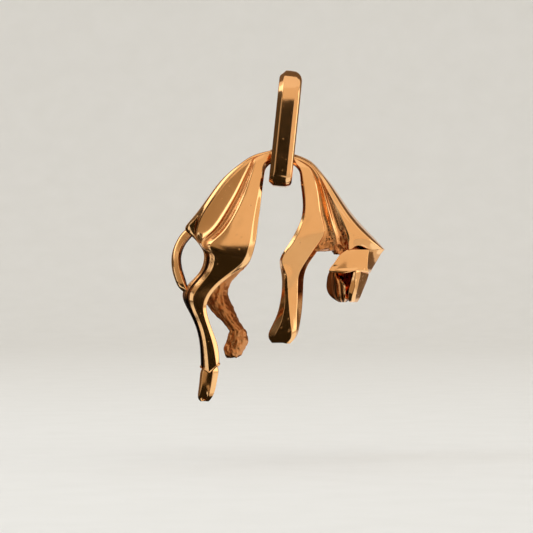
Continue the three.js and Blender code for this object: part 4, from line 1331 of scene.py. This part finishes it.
def lit_paper(name, colour, strength):
    """Paper lit from behind, found by reflections only."""
    material, tree = new_material(name)
    shader = add_node(tree, "ShaderNodeEmission", {"Color": linear(colour), "Strength": strength})
    add_node(tree, "ShaderNodeOutputMaterial", {"Surface": shader.outputs["Emission"]})
    material.cycles.emission_sampling = "NONE"
    return material


def swept_floor(name, material):
    """A round floor whose rim bends up into a wall, ring by ring."""
    bpy.ops.object.select_all(action="DESELECT")
    bpy.ops.mesh.primitive_circle_add(vertices=SWEEP_SIDES, radius=SWEEP_RADIUS, fill_type="NGON",
                                      location=(CENTRE.x, CENTRE.y, cad_low.z - FLOOR_GAP))
    floor = bpy.context.object
    floor.name = name
    bpy.ops.object.mode_set(mode="EDIT")
    bpy.ops.mesh.select_all(action="DESELECT")
    bpy.ops.mesh.select_mode(type="EDGE")
    bpy.ops.mesh.select_non_manifold()
    radius, level = SWEEP_RADIUS, 0.0
    for k in range(BEND_STEPS):
        angle = math.radians(90 * (k + 1) / BEND_STEPS)
        grown = SWEEP_RADIUS + SWEEP_BEND * math.sin(angle)
        raised = SWEEP_BEND * (1 - math.cos(angle))
        bpy.ops.mesh.extrude_edges_move(TRANSFORM_OT_translate={"value": (0, 0, raised - level)})
        bpy.ops.transform.resize(value=(grown / radius, grown / radius, 1),
                                 center_override=(CENTRE.x, CENTRE.y, 0))
        radius, level = grown, raised
    bpy.ops.mesh.extrude_edges_move(TRANSFORM_OT_translate={"value": (0, 0, SWEEP_TOP)})
    bpy.ops.object.mode_set(mode="OBJECT")
    bpy.ops.object.shade_smooth()
    floor.data.materials.append(material)


def softbox(name, middle, size, radiance):
    """A flat lamp that faces the charm and looks equally bright whatever its size."""
    place = Vector(middle) * MM
    lamp = bpy.data.lights.new(name, "AREA")
    lamp.shape = "RECTANGLE"
    lamp.size, lamp.size_y = Vector(size) * MM
    lamp.energy = radiance * math.pi * lamp.size * lamp.size_y
    lamp.color = linear(DAYLIGHT)[:3]
    box = bpy.data.objects.new(name, lamp)
    bpy.context.collection.objects.link(box)
    box.location = CENTRE + place
    box.rotation_euler = (-place).to_track_quat("-Z", "Y").to_euler()


def card(name, paper):
    """The plane or ring just made becomes a card that only reflections see."""
    piece = bpy.context.object
    piece.name = name
    piece.visible_camera = piece.visible_diffuse = piece.visible_shadow = False
    piece.data.materials.append(paper)


def flat_card(name, paper, middle, size, turn=None):
    """A card at a place given in millimetres from the charm's middle; without a turn it faces the charm."""
    place = Vector(middle) * MM
    turn = turn or (-place).to_track_quat("Z", "Y").to_euler()
    bpy.ops.object.select_all(action="DESELECT")
    bpy.ops.mesh.primitive_plane_add(size=1, location=CENTRE + place, rotation=turn)
    bpy.context.object.scale = (size[0] * MM, size[1] * MM, 1)
    bpy.ops.object.transform_apply(location=False, rotation=False, scale=True)
    card(name, paper)


def ring_card(name, paper):
    """A wide ring behind the charm, whose hole lies round it."""
    bpy.ops.object.select_all(action="DESELECT")
    bpy.ops.mesh.primitive_circle_add(vertices=SWEEP_SIDES, radius=RING_HOLE, fill_type="NOTHING",
                                      location=CENTRE + RING_BEHIND, rotation=UPRIGHT)
    bpy.ops.object.mode_set(mode="EDIT")
    bpy.ops.mesh.select_all(action="SELECT")
    bpy.ops.mesh.extrude_edges_move(TRANSFORM_OT_translate={"value": (0, 0, 0)})
    bpy.ops.transform.resize(value=(RING_GROWTH, 1, RING_GROWTH), center_override=CENTRE + RING_BEHIND)
    bpy.ops.object.mode_set(mode="OBJECT")
    card(name, paper)


swept_floor("floor", floor_paper("pale_paper"))

world = bpy.data.worlds.new("room")
bpy.context.scene.world = world
world.use_nodes = True
world.node_tree.nodes["Background"].inputs["Color"].default_value = linear(ROOM_LIGHT)
world.node_tree.nodes["Background"].inputs["Strength"].default_value = ROOM_STRENGTH

for name, (middle, size, radiance) in LAMPS.items():
    softbox(name, middle, size, radiance)

# Cards: dark round the lens and over the floor, pale to the upper left, brown at the side and behind the
# charm, with lit ones to the upper right, low on the right and, narrow, on the left
DARK_CARD = card_paper("dark_card", "#2E2A1E")
PALE_CARD = card_paper("pale_card", "#BCAF9C")
BROWN_CARD = card_paper("brown_card", "#7C6E5E")
SIDE_CARD = card_paper("side_card", "#544B3A")
WINDOW_PAPER = lit_paper("window_paper", "#FFF6E8", strength=0.95)
LOW_PAPER = lit_paper("low_paper", DAYLIGHT, strength=1.45)
flat_card("lens_card", DARK_CARD, middle=(-30, -150, -27), size=(100, 70), turn=UPRIGHT)
flat_card("thigh_card", DARK_CARD, middle=(8, -151, -17), size=(58, 90), turn=UPRIGHT)
flat_card("strap_card", DARK_CARD, middle=(0, -290, 24), size=(90, 34), turn=UPRIGHT)
flat_card("left_card", PALE_CARD, middle=(-140, -156, 20), size=(240, 240), turn=UPRIGHT)
flat_card("side_card", SIDE_CARD, middle=(-232, -50, 15), size=(270, 220), turn=SIDEWAYS)
flat_card("floor_card", DARK_CARD, middle=(-101, -75, -22), size=(208, 270), turn=LEVEL)
flat_card("window_card", WINDOW_PAPER, middle=(118, -252, 112), size=(380, 320))
flat_card("low_card", LOW_PAPER, middle=(35, 0, -21), size=(60, 50), turn=LEVEL)
flat_card("strip_card", LOW_PAPER, middle=(-203, -108, 20), size=(44, 82))
flat_card("floor_strip", LOW_PAPER, middle=(-76, -43, -21), size=(96, 16), turn=(0, 0, math.radians(30)))
ring_card("back_ring", BROWN_CARD)

camera = bpy.data.objects.new("camera", bpy.data.cameras.new("camera"))
bpy.context.collection.objects.link(camera)
camera.location = (VIEW_X, -VIEW_DISTANCE, VIEW_Z)
camera.rotation_euler = UPRIGHT
camera.data.lens = camera.data.sensor_width * VIEW_DISTANCE / (FRAME_PIXELS * PIXEL)
camera.data.clip_start = VIEW_START
bpy.context.scene.camera = camera
bpy.context.scene.view_settings.view_transform = "Standard"
